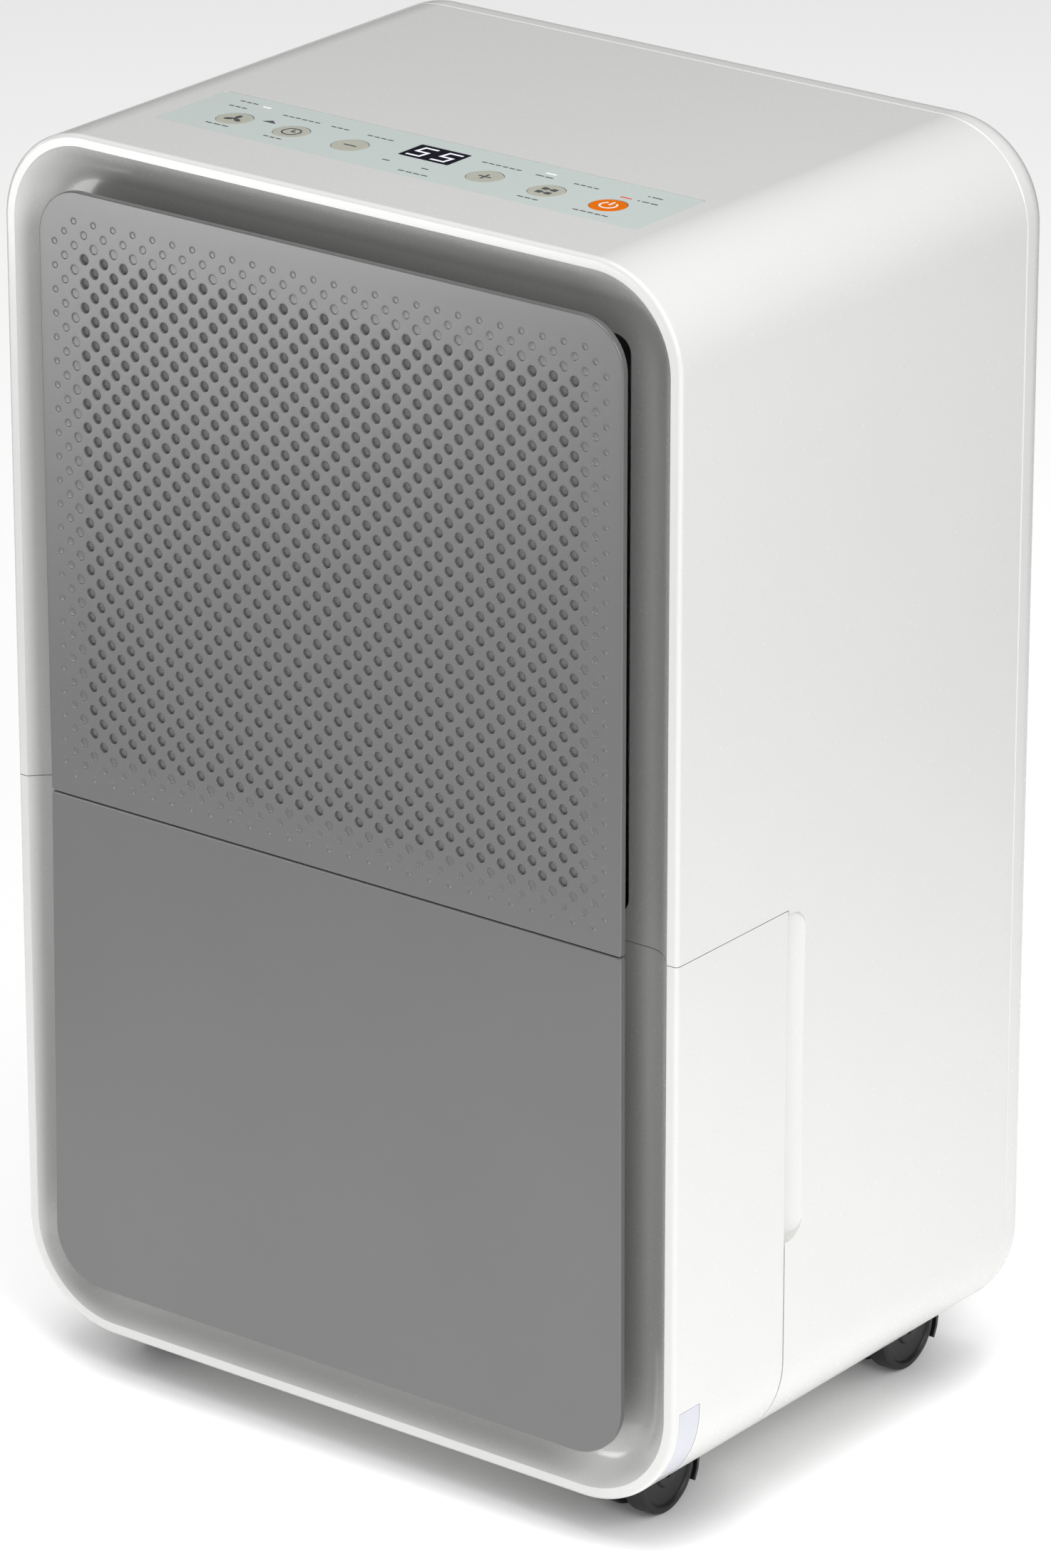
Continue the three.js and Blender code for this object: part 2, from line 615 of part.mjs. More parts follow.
function fanShroud() {
  const plate = prismY(outlineShape(12), 94, 96.5)
    .intersect(block(-150, 150, 90, 100, TRAY_H, BODY_H));
  const mouth = rod(FAN_R + 5, 90, 150, 'y', 28).translate([0, 0, FAN_H]);
  const duct = ring(FAN_R + 5, FAN_R + 7.5, 95, DUCT_END, 'y', 28).translate([0, 0, FAN_H]);
  const drainPass = rod(6.5, 90, 100, 'y', 12).translate([DRAIN.x, 0, DRAIN.z]);
  return join(plate.subtract(mouth).subtract(drainPass), duct);
}

/** Collar round the motor on four arms that stand on the end of the fan's duct. */
function motorBracket() {
  const start = DUCT_END + FIT;
  const collar = ring(36.3, 39, start - 3, start + 9, 'y', 24);
  const arms = [45, 135, 225, 315].map((turn) => (
    block(37.5, FAN_R + 7, start, start + 3, -4, 4).rotate([0, turn, 0])));
  return join(collar, ...arms).translate([0, 0, FAN_H]);
}

/** Seven-bladed axial fan; each blade is a thin plate pitched about its own spoke. */
function fanImpeller() {
  const hub = turned([
    [4.3, 106], [28, 106], [30, 110], [30, 130], [27, 130], [27, 112], [9, 112], [9, 128],
    [4.3, 128], [4.3, 106],
  ], 'y', 21);
  const blades = Array.from({ length: 7 }, (_, i) => {
    const shape = new THREE.Shape();
    shape.moveTo(28.5, -11);
    shape.lineTo(FAN_R - 3, -26);
    shape.quadraticCurveTo(FAN_R + 1.5, 0, FAN_R - 6, 22);
    shape.lineTo(28.5, 12);
    const blade = new THREE.ExtrudeGeometry(shape, { depth: 1.8, bevelEnabled: false, curveSegments: 4 });
    blade.rotateX(THREE.MathUtils.degToRad(66));
    blade.translate(0, 118, 0);
    blade.rotateY((2 * Math.PI * i) / 7);
    return solid(blade);
  });
  return join(hub, ...blades).translate([0, 0, FAN_H]);
}

const fanMotor = () => turned([
  [0, 107], [4, 107], [4, 134], [34, 134], [36, 137], [36, 172], [32, 176], [0, 176],
], 'y', 24).translate([0, 0, FAN_H]);

const compressor = () => turned([
  [0, 13], [46, 13], [46, 16], [COMPRESSOR.r - 3, 18], [COMPRESSOR.r, 24],
  [COMPRESSOR.r, COMPRESSOR.top - 16], [COMPRESSOR.r - 6, COMPRESSOR.top - 6],
  [COMPRESSOR.r - 20, COMPRESSOR.top], [0, COMPRESSOR.top],
], 'z', 28).translate([COMPRESSOR.x, COMPRESSOR.y, 0]);

/** Rubber ring between the base pan's round pad and the compressor's foot. */
const compressorMat = () => ring(36, 47, 8 + FIT, 13 - FIT, 'z', 20)
  .translate([COMPRESSOR.x, COMPRESSOR.y, 0]);

const suctionPipe = () => pipe([
  [-50, 190, COMPRESSOR.top + 0.5], [-50, 190, 229], [-100, 188, 246], [-154, 176, 254],
  [-158, 150, 264], [-158, 70, 290], [-156, 46, 315], [-140, 43, 331], [-123, 43, 331],
], 4, 28, 6);

const dischargePipe = () => pipe([
  [-22, 190, COMPRESSOR.top + 0.5], [-22, 190, 252], [40, 196, 266], [130, 192, 272],
  [157, 170, 284], [158, 120, 356], [157, 80, 424], [142, 71, 434], [123, 71, 434],
], 4, 28, 6);

const capillary = () => pipe([
  [123, 71, 290], [138, 71, 290], [148, 66, 292], [150, 57, 305], [148, 47, 292],
  [138, 43, 290], [123, 43, 290],
], 2, 20, 6);

function powerBoard() {
  const back = TANK_BACK + 6 + FIT;
  const board = block(24, 98, back + 5, back + 7, 70, 180);
  const parts = [
    block(30, 54, back + 6, back + 26, 80, 104), block(66, 82, back + 6, back + 20, 84, 100),
    block(34, 88, back + 6, back + 14, 150, 166),
  ];
  const posts = [28, 94].flatMap((x) => [75, 175].map((z) => (
    block(x - 3, x + 3, back, back + 6, z - 3, z + 3))));
  return join(board, ...parts, ...posts);
}

const runCapacitor = () => turned([
  [0, WALL + FIT], [20, WALL + FIT], [20, 70], [17, 74], [0, 74],
], 'z', 20).translate([62, 205, 0]);

const tankSwitch = () => join(
  block(108, 132, TANK_BACK + 6 + FIT, TANK_BACK + 17, 138, 150),
  block(112, 115, TANK_BACK + 16, TANK_BACK + 21, 140, 148),
  block(125, 128, TANK_BACK + 16, TANK_BACK + 21, 140, 148),
);

const humiditySensor = () => cut(
  block(128, 138, 84, 94 - FIT, 362, 382), block(131, 135, 82, 86, 366, 378));

const drainSpout = () => ring(3.2, 5, 88 + FIT, 246, 'y', 16).translate([DRAIN.x, 0, DRAIN.z]);

const drainCap = () => turned([
  [5 + FIT, 240], [8, 240], [9, 243], [9, BODY_D - 1.4], [8, BODY_D - 0.4], [0, BODY_D - 0.4],
  [0, 246 + FIT], [5 + FIT, 246 + FIT], [5 + FIT, 240],
], 'y', 20).translate([DRAIN.x, 0, DRAIN.z]);

const cordInlet = () => turned([
  [4, 240], [12, 240], [12, BODY_D - WALL - FIT], [9 - FIT, BODY_D - WALL - FIT],
  [9 - FIT, BODY_D - 0.2], [4, BODY_D - 0.2], [4, 240],
], 'y', 20).translate([CORD.x, 0, CORD.z]);

// ---------------------------------------------------------------- casters

const AXLE_Z = WHEEL_R - CLEARANCE;
const AXLE_R = 2;

/** Hood over the two wheels with its middle web and the stem, about the swivel axis. */
function casterHood() {
  const outer = WHEEL_R + 2.6;
  const inner = WHEEL_R + 1.2;
  const arch = new THREE.Shape();
  const [start, end] = [-31, 142].map(THREE.MathUtils.degToRad);
  arch.absarc(0, 0, outer, start, end, false);
  arch.absarc(0, 0, inner, end, start, true);
  const web = new THREE.Shape();
  web.absarc(0, 0, inner + 0.7, start, end, false);
  web.lineTo(-9, -4);
  web.lineTo(6, -5);
  const frame = join(prismX(arch, -13.8, 13.8, 6), prismX(web, -2.6, 2.6, 6));
  const axleHole = rod(AXLE_R + FIT, -5, 5, 'x', 10);
  const stem = turned([
    [0, 17.8], [6.5, 17.8], [6.5, 22.5], [4, 22.5], [4, 37.8], [0, 37.8],
  ], 'z', 12);
  return frame.subtract(axleHole).translate([0, -TRAIL, AXLE_Z]).add(stem);
}

const casterAxle = () => rod(AXLE_R, -12.1, 12.1, 'x', 10).translate([0, -TRAIL, AXLE_Z]);

/** One wheel, axis along x, with a chamfered tread of WHEEL_SIDES flats that stands on a flat. */
const WHEEL_SIDES = 18;

function casterWheel() {
  const tread = WHEEL_R / Math.cos(Math.PI / WHEEL_SIDES);
  return turned([
    [AXLE_R + FIT, 3.2], [tread - 1.6, 3.2], [tread, 5], [tread, 11.7], [tread - 1.8, 13.5],
    [AXLE_R + FIT, 13.5], [AXLE_R + FIT, 3.2],
  ], 'x', WHEEL_SIDES).rotate([180 / WHEEL_SIDES, 0, 0]).translate([0, -TRAIL, AXLE_Z]);
}

// ---------------------------------------------------------------- assembly

addPiece('main_housing', mainHousing(), 'white');
addPiece('intake_bezel', intakeBezel(), 'white');
addPiece('rear_cover', rearCover(), 'white');
addPiece('rear_grille', rearGrille(), 'white');
addPiece('base_pan', basePan(), 'white');

addPiece('front_grille', frontGrille(), 'grey');
addPiece('filter_frame', filterFrame(), 'inner');
addPiece('filter_mesh', filterMesh(), 'net');

addPiece('tank_cover', tankCover(), 'white');
addPiece('tank_panel', tankPanel(), 'grey');
addPiece('tank_bucket', tankBucket(), 'tank');
addPiece('tank_lid', tankLid(), 'inner');
addPiece('tank_float', tankFloat(), 'foam');
addPiece('corner_strip_right', tankStrip(), 'window');
addPiece('corner_strip_left', mirroredX(tankStrip()), 'window');

addPiece('control_overlay', controlOverlay(), 'overlay');
addPiece('display_lens', displayLens(), 'lens');
addPiece('control_board', controlBoard(), 'board');
for (const [name, x] of Object.entries(KEYS)) {
  addPiece(`${name}_button`, keyCap(x), name === 'power' ? 'orange' : 'key');
}

addPiece('chassis_frame', chassisFrame(), 'inner');
addPiece('drip_tray', dripTray(), 'black');
addPiece('evaporator_coil', finnedCoil(32, 54), 'fin');
addPiece('condenser_coil', finnedCoil(60, 82), 'fin');
addPiece('compressor', compressor(), 'painted');
addPiece('compressor_mat', compressorMat(), 'rubber');
addPiece('suction_pipe', suctionPipe(), 'copper');
addPiece('discharge_pipe', dischargePipe(), 'copper');
addPiece('capillary_tube', capillary(), 'copper');
addPiece('fan_shroud', fanShroud(), 'inner');
addPiece('motor_bracket', motorBracket(), 'inner');
addPiece('fan_impeller', fanImpeller(), 'inner');
addPiece('fan_motor', fanMotor(), 'steel');
addPiece('power_board', powerBoard(), 'board');
addPiece('run_capacitor', runCapacitor(), 'steel');
addPiece('tank_switch', tankSwitch(), 'black');
addPiece('humidity_sensor', humiditySensor(), 'inner');
addPiece('drain_spout', drainSpout(), 'inner');
addPiece('drain_cap', drainCap(), 'rubber');
addPiece('cord_inlet', cordInlet(), 'black');

for (const [end, y] of [['front', CASTER_Y[0]], ['rear', CASTER_Y[1]]]) {
  for (const [hand, side] of [['left', -1], ['right', 1]]) {
    const caster = new THREE.Group();
    caster.position.set(side * CASTER_X, y, 0);
    casing.add(caster);
    const name = `${end}_${hand}`;
    addPiece(`caster_hood_${name}`, casterHood(), 'black', caster);
    addPiece(`caster_axle_${name}`, casterAxle(), 'steel', caster);
    addPiece(`caster_wheel_${name}_outer`, side > 0 ? casterWheel() : mirroredX(casterWheel()),
      'rubber', caster);
    addPiece(`caster_wheel_${name}_inner`, side > 0 ? mirroredX(casterWheel()) : casterWheel(),
      'rubber', caster);
  }
}

export default machine;
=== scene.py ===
import math

import bmesh
import bpy
from mathutils import Matrix, Vector
from mathutils.geometry import delaunay_2d_cdt


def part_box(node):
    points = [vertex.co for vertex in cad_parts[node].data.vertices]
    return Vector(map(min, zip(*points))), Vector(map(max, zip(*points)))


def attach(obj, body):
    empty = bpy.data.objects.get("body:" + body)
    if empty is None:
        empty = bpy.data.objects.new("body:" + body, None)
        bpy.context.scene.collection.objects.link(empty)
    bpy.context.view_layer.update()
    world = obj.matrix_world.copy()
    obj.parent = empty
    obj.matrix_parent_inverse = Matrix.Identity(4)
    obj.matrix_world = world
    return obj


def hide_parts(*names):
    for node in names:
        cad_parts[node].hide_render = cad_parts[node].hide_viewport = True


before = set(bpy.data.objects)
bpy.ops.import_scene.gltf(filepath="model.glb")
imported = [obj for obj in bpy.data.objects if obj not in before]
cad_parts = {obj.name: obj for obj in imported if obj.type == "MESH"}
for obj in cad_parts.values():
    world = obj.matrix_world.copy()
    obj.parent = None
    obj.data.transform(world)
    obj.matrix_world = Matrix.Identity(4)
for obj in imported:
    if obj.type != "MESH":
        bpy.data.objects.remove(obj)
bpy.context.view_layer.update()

# ------------------------------------------------------------------ the casing's own frame
# Shapes are made in millimetres in the casing's frame: x to the right, d back from the
# rim plane, h up from the underside. place() moves them into the frame's metres.

MM = 0.001
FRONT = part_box("main_housing")[0][1]
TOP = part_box("main_housing")[1][2]
HALF_W, BODY_H, BODY_D = 170.0, 528.0, 250.0
R_TOP, R_BOTTOM = 42.0, 46.0
WALL, FIT = 2.5, 0.3
RIM = 5.2
SEAM_H, BASE_SEAM_H = 244.0, 14.0
WING_D, REAR_SEAM_D = 74.5, 233.0
REAR_ROUND = 12.0
COVE_D = 10.5
PANEL_HALF_W, PANEL_TOP, PANEL_BOTTOM = 146.8, 506.0, 23.7
PANEL_PROUD, PANEL_PROUD_LOW, PANEL_T = 5.9, 7.4, 3.2
INTAKE = (-138.3, 138.3, 254.0, 495.0)
TANK_BACK, TANK_BOTTOM, SUMP_HALF_W = 128.0, 9.0, 88.0
RECESS = {"d0": 62.0, "d1": 86.1, "h0": 98.2, "h1": 242.0, "depth": 13.0}
OVERLAY = {"x0": -121.0, "x1": 120.5, "d0": 36.5, "d1": 82.5}
KEY_D, KEY_R = 55.2, 7.7
KEYS = {"fan_speed": -94.5, "timer": -65.2, "minus": -35.3, "plus": 32.5, "mode": 63.1,
        "power": 93.3}
DISPLAY = {"x0": -13.2, "x1": 11.8, "d0": 57.7, "d1": 73.7}
OUTLET, OUTLET_HALF_W = (262.0, 500.0), 108.0
SLATS, SLAT_LEAN = 10, math.radians(-32)
DRAIN, DRAIN_HOLE_R = (100.0, 241.5), 11
CORD, CORD_HOLE_R = (-112.0, 48.0), 9
CASTER_X, CASTER_D = 123.8, (46.0, 217.0)
WELL_R, WELL_TOP, CUP_WALL = 27.0, 24.0, 1.2
SOCKET_R, SOCKET_TOP, SOCKET_WALL = 4.6, 38.5, 2.4
WHEEL_R, TRAIL, AXLE_H = 18.5, 5.0, -1.5
COMPRESSOR = (-35.0, 190.0)
FAR = 400.0  # beyond every casing surface, for cutting blocks


def place(obj):
    """Turns casing millimetres in the object's mesh into the frame's metres."""
    shift = Matrix.Translation((0, FRONT, TOP - BODY_H * MM))
    obj.data.transform(shift @ Matrix.Diagonal((MM, MM, MM, 1)))


# ------------------------------------------------------------------ mesh helpers


def build(name, points, faces):
    """A closed mesh object with its faces turned outwards."""
    mesh = bpy.data.meshes.new(name)
    mesh.from_pydata([tuple(p) for p in points], [], [tuple(f) for f in faces])
    obj = bpy.data.objects.new(name, mesh)
    bpy.context.scene.collection.objects.link(obj)
    work = bmesh.new()
    work.from_mesh(mesh)
    bmesh.ops.recalc_face_normals(work, faces=work.faces)
    work.to_mesh(mesh)
    work.free()
    return obj


def bake(obj):
    """Applies the object's modifiers."""
    depsgraph = bpy.context.evaluated_depsgraph_get()
    obj.data = bpy.data.meshes.new_from_object(obj.evaluated_get(depsgraph))
    obj.modifiers.clear()


def combine(obj, operation, *others):
    """Joins, cuts or intersects obj with the others, which are used up."""
    for other in others:
        step = obj.modifiers.new("combine", "BOOLEAN")
        step.operation, step.object, step.solver = operation, other, "EXACT"
    bake(obj)
    for other in others:
        bpy.data.objects.remove(other)
    return obj


def cut(obj, *others):
    return combine(obj, "DIFFERENCE", *others)


def join(obj, *others):
    return combine(obj, "UNION", *others)


def keep(obj, *others):
    return combine(obj, "INTERSECT", *others)


def skin(rings, closed=False):
    """Faces between rings of equal length; closed makes the last ring meet the first."""
    count = len(rings[0])
    points = [p for ring in rings for p in ring]
    faces = []
    for i in range(len(rings) if closed else len(rings) - 1):
        j = (i + 1) % len(rings)
        for k in range(count):
            m = (k + 1) % count
            faces.append((i * count + k, i * count + m, j * count + m, j * count + k))
    if not closed:
        faces.append(tuple(range(count)))
        faces.append(tuple(range((len(rings) - 1) * count, len(rings) * count)))
    return build("solid", points, faces)


def block(x0, x1, d0, d1, h0, h1):
    rings = [[(x0, d, h0), (x1, d, h0), (x1, d, h1), (x0, d, h1)] for d in (d0, d1)]
    return skin(rings)


def arc(centre, radius, start, end, steps):
    """Points of an arc about a centre, with angles in degrees."""
    turns = [math.radians(start + (end - start) * i / steps) for i in range(steps + 1)]
    return [(centre[0] + radius * math.cos(t), centre[1] + radius * math.sin(t)) for t in turns]


def rounded(u0, u1, v0, v1, low, high=None, inset=0.0, steps=10):
    """Rounded rectangle, anticlockwise, with one radius for its low and one for its high corners."""
    high = low if high is None else high
    return (arc((u1 - low, v0 + low), low - inset, -90, 0, steps)
            + arc((u1 - high, v1 - high), high - inset, 0, 90, steps)
            + arc((u0 + high, v1 - high), high - inset, 90, 180, steps)
            + arc((u0 + low, v0 + low), low - inset, 180, 270, steps))


def prism(axis, shape, start, end):
    """Pushes a flat shape along an axis: "x" takes (d, h), "d" takes (x, h), "h" takes (x, d)."""
    turn = {"x": lambda a, b, t: (t, a, b), "d": lambda a, b, t: (a, t, b),
            "h": lambda a, b, t: (a, b, t)}[axis]
    return skin([[turn(a, b, t) for a, b in shape] for t in (start, end)])


def lathe(axis, centre, profile, sides=48):
    """Rings of points that turn a profile of (radius, along) about an axis through centre."""
    rings = []
    for radius, along in profile:
        ring = []
        for i in range(sides):
            turn = 2 * math.pi * i / sides
            a = centre[0] + radius * math.cos(turn)
            b = centre[1] + radius * math.sin(turn)
            ring.append({"x": (along, a, b), "d": (a, along, b), "h": (a, b, along)}[axis])
        rings.append(ring)
    return rings


def turned(axis, centre, profile, sides=48):
    """A solid of revolution whose profile runs from the axis out and back to it."""
    return skin(lathe(axis, centre, profile, sides))


def hoop(axis, centre, profile, sides=48):
    """A ring of revolution: its closed profile doesn't touch the axis."""
    return skin(lathe(axis, centre, profile, sides), closed=True)


def rod(axis, centre, radius, start, end, sides=48):
    return turned(axis, centre, [(radius, start), (radius, end)], sides)


def outline(inset, steps=24):
    """The casing's front outline pulled in by inset, as (x, h)."""
    return (arc((HALF_W - R_BOTTOM, R_BOTTOM), R_BOTTOM - inset, -90, 0, steps)
            + arc((HALF_W - R_TOP, BODY_H - R_TOP), R_TOP - inset, 0, 90, steps)
            + arc((R_TOP - HALF_W, BODY_H - R_TOP), R_TOP - inset, 90, 180, steps)
            + arc((R_BOTTOM - HALF_W, R_BOTTOM), R_BOTTOM - inset, 180, 270, steps))


def sweep(section, closed=True):
    """Sweeps (inset, d) points round the casing's outline."""
    return skin([[(x, d, h) for x, h in outline(inset)] for inset, d in section], closed)


def loft(section):
    return sweep(section, closed=False)


def above(h):
    return block(-FAR, FAR, -FAR, FAR, h, FAR * 2)


def below(h):
    return block(-FAR, FAR, -FAR, FAR, -FAR, h)


def mirrored(obj):
    """A copy of the object on the other side of the casing's middle."""
    twin = bpy.data.objects.new(obj.name, obj.data.copy())
    bpy.context.scene.collection.objects.link(twin)
    twin.data.transform(Matrix.Diagonal((-1, 1, 1, 1)))
    twin.data.flip_normals()
    return twin


def soften(obj, width, segments=2, angle=32):
    """Rounds the sharp edges by width millimetres."""
    step = obj.modifiers.new("edge", "BEVEL")
    step.width, step.segments = width, segments
    step.limit_method, step.angle_limit = "ANGLE", math.radians(angle)
    step.use_clamp_overlap, step.miter_outer = True, "MITER_ARC"
    bake(obj)
    return obj


def weld(obj, distance=0.004):
    work = bmesh.new()
    work.from_mesh(obj.data)
    bmesh.ops.remove_doubles(work, verts=work.verts, dist=distance)
    bmesh.ops.dissolve_degenerate(work, edges=work.edges, dist=distance)
    work.to_mesh(obj.data)
    work.free()
    return obj


def shade(obj, sharp=34):
    """Smooth shading that keeps flat faces flat and hard edges hard."""
    for polygon in obj.data.polygons:
        polygon.use_smooth = True
    obj.data.set_sharp_from_angle(angle=math.radians(sharp))
    step = obj.modifiers.new("normals", "WEIGHTED_NORMAL")
    step.keep_sharp, step.weight = True, 50
    bake(obj)


def finish(obj, name, body, look, nodes=(), sharp=34):
    """Names a made piece, moves it into the frame, and gives it body and material."""
    weld(obj)
    shade(obj, sharp)
    place(obj)
    obj.name = obj.data.name = name
    obj.data.materials.clear()
    obj.data.materials.append(look)
    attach(obj, body)
    if nodes:
        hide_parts(*nodes)
    return obj


# ------------------------------------------------------------------ materials

WHITE_LIGHT = (1, 1, 1, 1)


def srgb(*screen):
    """A screen colour, 0 to 255, as the linear colour shaders take."""
    part = [v / 255 for v in screen]
    return (*[v / 12.92 if v <= 0.04045 else ((v + 0.055) / 1.055) ** 2.4 for v in part], 1.0)


def blank(name):
    material = bpy.data.materials.new(name)
    material.use_nodes = True
    tree = material.node_tree
    return material, tree, tree.nodes["Principled BSDF"]


def add(tree, kind, settings=None, inputs=None):
    """A shader node with its settings and its inputs, which are numbers or other sockets."""
    node = tree.nodes.new(kind)
    for key, value in (settings or {}).items():
        setattr(node, key, value)
    for key, value in (inputs or {}).items():
        if isinstance(value, bpy.types.NodeSocket):
            tree.links.new(value, node.inputs[key])
        else:
            node.inputs[key].default_value = value
    return node


def object_coords(tree, stretch=(1, 1, 1)):
    source = add(tree, "ShaderNodeTexCoord").outputs["Object"]
    mapping = add(tree, "ShaderNodeMapping", None, {"Vector": source, "Scale": stretch})
    return mapping.outputs["Vector"]


def noise(tree, coords, scale, detail=2.0):
    inputs = {"Vector": coords, "Scale": scale, "Detail": detail}
    return add(tree, "ShaderNodeTexNoise", None, inputs).outputs["Fac"]


def spread(tree, value, low, high, start=0.3, end=0.7):
    """Maps start..end of a 0..1 texture onto low..high."""
    inputs = {"Value": value, "From Min": start, "From Max": end, "To Min": low, "To Max": high}
    return add(tree, "ShaderNodeMapRange", None, inputs).outputs["Result"]


def blend(tree, factor, first, second):
    inputs = {"Factor": factor, "A": first, "B": second}
    node = tree.nodes.new("ShaderNodeMix")
    node.data_type = "RGBA"
    for key, value in inputs.items():
        socket = next(s for s in node.inputs if s.name == key and s.type in
                      (("VALUE",) if key == "Factor" else ("RGBA",)))
        if isinstance(value, bpy.types.NodeSocket):
            tree.links.new(value, socket)
        else:
            socket.default_value = value
    return next(s for s in node.outputs if s.type == "RGBA")


def bump(tree, height, distance, strength):
    inputs = {"Height": height, "Distance": distance, "Strength": strength}
    return add(tree, "ShaderNodeBump", None, inputs).outputs["Normal"]


def occlusion_shade(tree, distance):
    """1 on open surfaces, less where other surfaces closer than distance shut them in; the looks use
    it to paint shade and shadow into colours.
    """
    return add(tree, "ShaderNodeAmbientOcclusion", {"samples": 8},
               {"Distance": distance}).outputs["AO"]


def scaled(colour, factor):
    return (*[min(1.0, c * factor) for c in colour[:3]], 1.0)


def constants(shader, values):
    for key, value in values.items():
        shader.inputs[key].default_value = value


def moulded(name, colour, rough, grain=1500, relief=0.1, mottle=0.02, **more):
    """Moulded plastic: faint cloudy colour, fine surface grain and uneven gloss."""
    material, tree, shader = blank(name)
    coords = object_coords(tree)
    cloud = noise(tree, coords, 14, 3)
    fine = noise(tree, coords, grain, 3)
    mixed = blend(tree, spread(tree, cloud, 0, 1), scaled(colour, 1 - mottle),
                  scaled(colour, 1 + mottle))
    tree.links.new(mixed, shader.inputs["Base Color"])
    tree.links.new(spread(tree, fine, rough - 0.03, rough + 0.04), shader.inputs["Roughness"])
    tree.links.new(bump(tree, fine, 0.00003, relief), shader.inputs["Normal"])
    constants(shader, {key.replace("_", " "): value for key, value in more.items()})
    return material


def shade_painted_gloss(name, colour, rough, depth, shade_by, **more):
    """Glossy moulded plastic with painted shade: its colour is darkened where other surfaces shut it
    in.
    """
    material = moulded(name, colour, rough, 700, 0.03, 0.006, **more)
    tree = material.node_tree
    shader = tree.nodes["Principled BSDF"]
    tint = shader.inputs["Base Color"].links[0].from_socket
    # painted shade: the colour is darkened by how far other surfaces shut the surface in
    share = spread(tree, occlusion_shade(tree, depth), 1 - shade_by, 1, 0.25, 0.95)
    painted_shade_tint = add(tree, "ShaderNodeHueSaturation", None, {"Color": tint, "Value": share})
    tree.links.new(painted_shade_tint.outputs["Color"], shader.inputs["Base Color"])
    return material


def metal(name, colour, rough, stretch=(1, 1, 1), grain=600, tarnish=0.12):
    """Bare metal with drawn or rolled marks and a little tarnish."""
    material, tree, shader = blank(name)
    marks = noise(tree, object_coords(tree, stretch), grain, 4)
    patches = noise(tree, object_coords(tree), 40, 4)
    mixed = blend(tree, spread(tree, patches, 0, 1), scaled(colour, 1 - tarnish), colour)
    tree.links.new(mixed, shader.inputs["Base Color"])
    tree.links.new(spread(tree, marks, rough - 0.06, rough + 0.1), shader.inputs["Roughness"])
    tree.links.new(bump(tree, marks, 0.00002, 0.3), shader.inputs["Normal"])
    constants(shader, {"Metallic": 1.0})
    return material


def woven(name, thread, gap, pitch):
    """A fine woven net: two crossing sets of threads."""
    material, tree, shader = blank(name)
    coords = object_coords(tree)
    waves = [add(tree, "ShaderNodeTexWave", {"bands_direction": way},
                 {"Vector": coords, "Scale": 0.314 / pitch, "Distortion": 0.2}).outputs["Fac"]
             for way in ("X", "Z")]
    both = add(tree, "ShaderNodeMath", {"operation": "MAXIMUM"}, {0: waves[0], 1: waves[1]})
    weave = spread(tree, both.outputs[0], 0, 1, 0.35, 0.95)
    tree.links.new(blend(tree, weave, gap, thread), shader.inputs["Base Color"])
    tree.links.new(bump(tree, weave, 0.0002, 0.6), shader.inputs["Normal"])
    constants(shader, {"Roughness": 0.75})
    return material


def circuit(name):
    """Green circuit board with a pattern of copper pads under its lacquer."""
    material, tree, shader = blank(name)
    coords = object_coords(tree)
    cells = add(tree, "ShaderNodeTexVoronoi", {"feature": "DISTANCE_TO_EDGE"},
                {"Vector": coords, "Scale": 260})
    lines = spread(tree, cells.outputs["Distance"], 1, 0, 0.02, 0.05)
    tree.links.new(blend(tree, lines, srgb(24, 84, 52), srgb(70, 126, 70)),
                   shader.inputs["Base Color"])
    tree.links.new(bump(tree, lines, 0.00005, 0.5), shader.inputs["Normal"])
    constants(shader, {"Roughness": 0.35})
    return material


def foam(name, colour):
    material, tree, shader = blank(name)
    cells = add(tree, "ShaderNodeTexVoronoi", None,
                {"Vector": object_coords(tree), "Scale": 900}).outputs["Distance"]
    tree.links.new(blend(tree, cells, scaled(colour, 0.8), colour), shader.inputs["Base Color"])
    tree.links.new(bump(tree, cells, 0.0003, 0.7), shader.inputs["Normal"])
    constants(shader, {"Roughness": 0.95})
    return material


def glow(name, colour, strength):
    """A lit display segment or lamp with slightly uneven brightness."""
    material, tree, shader = blank(name)
    cloud = noise(tree, object_coords(tree), 500, 2)
    tree.links.new(blend(tree, cloud, scaled(colour, 0.9), colour), shader.inputs["Base Color"])
    tree.links.new(blend(tree, cloud, scaled(colour, 0.9), colour),
                   shader.inputs["Emission Color"])
    constants(shader, {"Emission Strength": strength, "Roughness": 0.4})
    return material


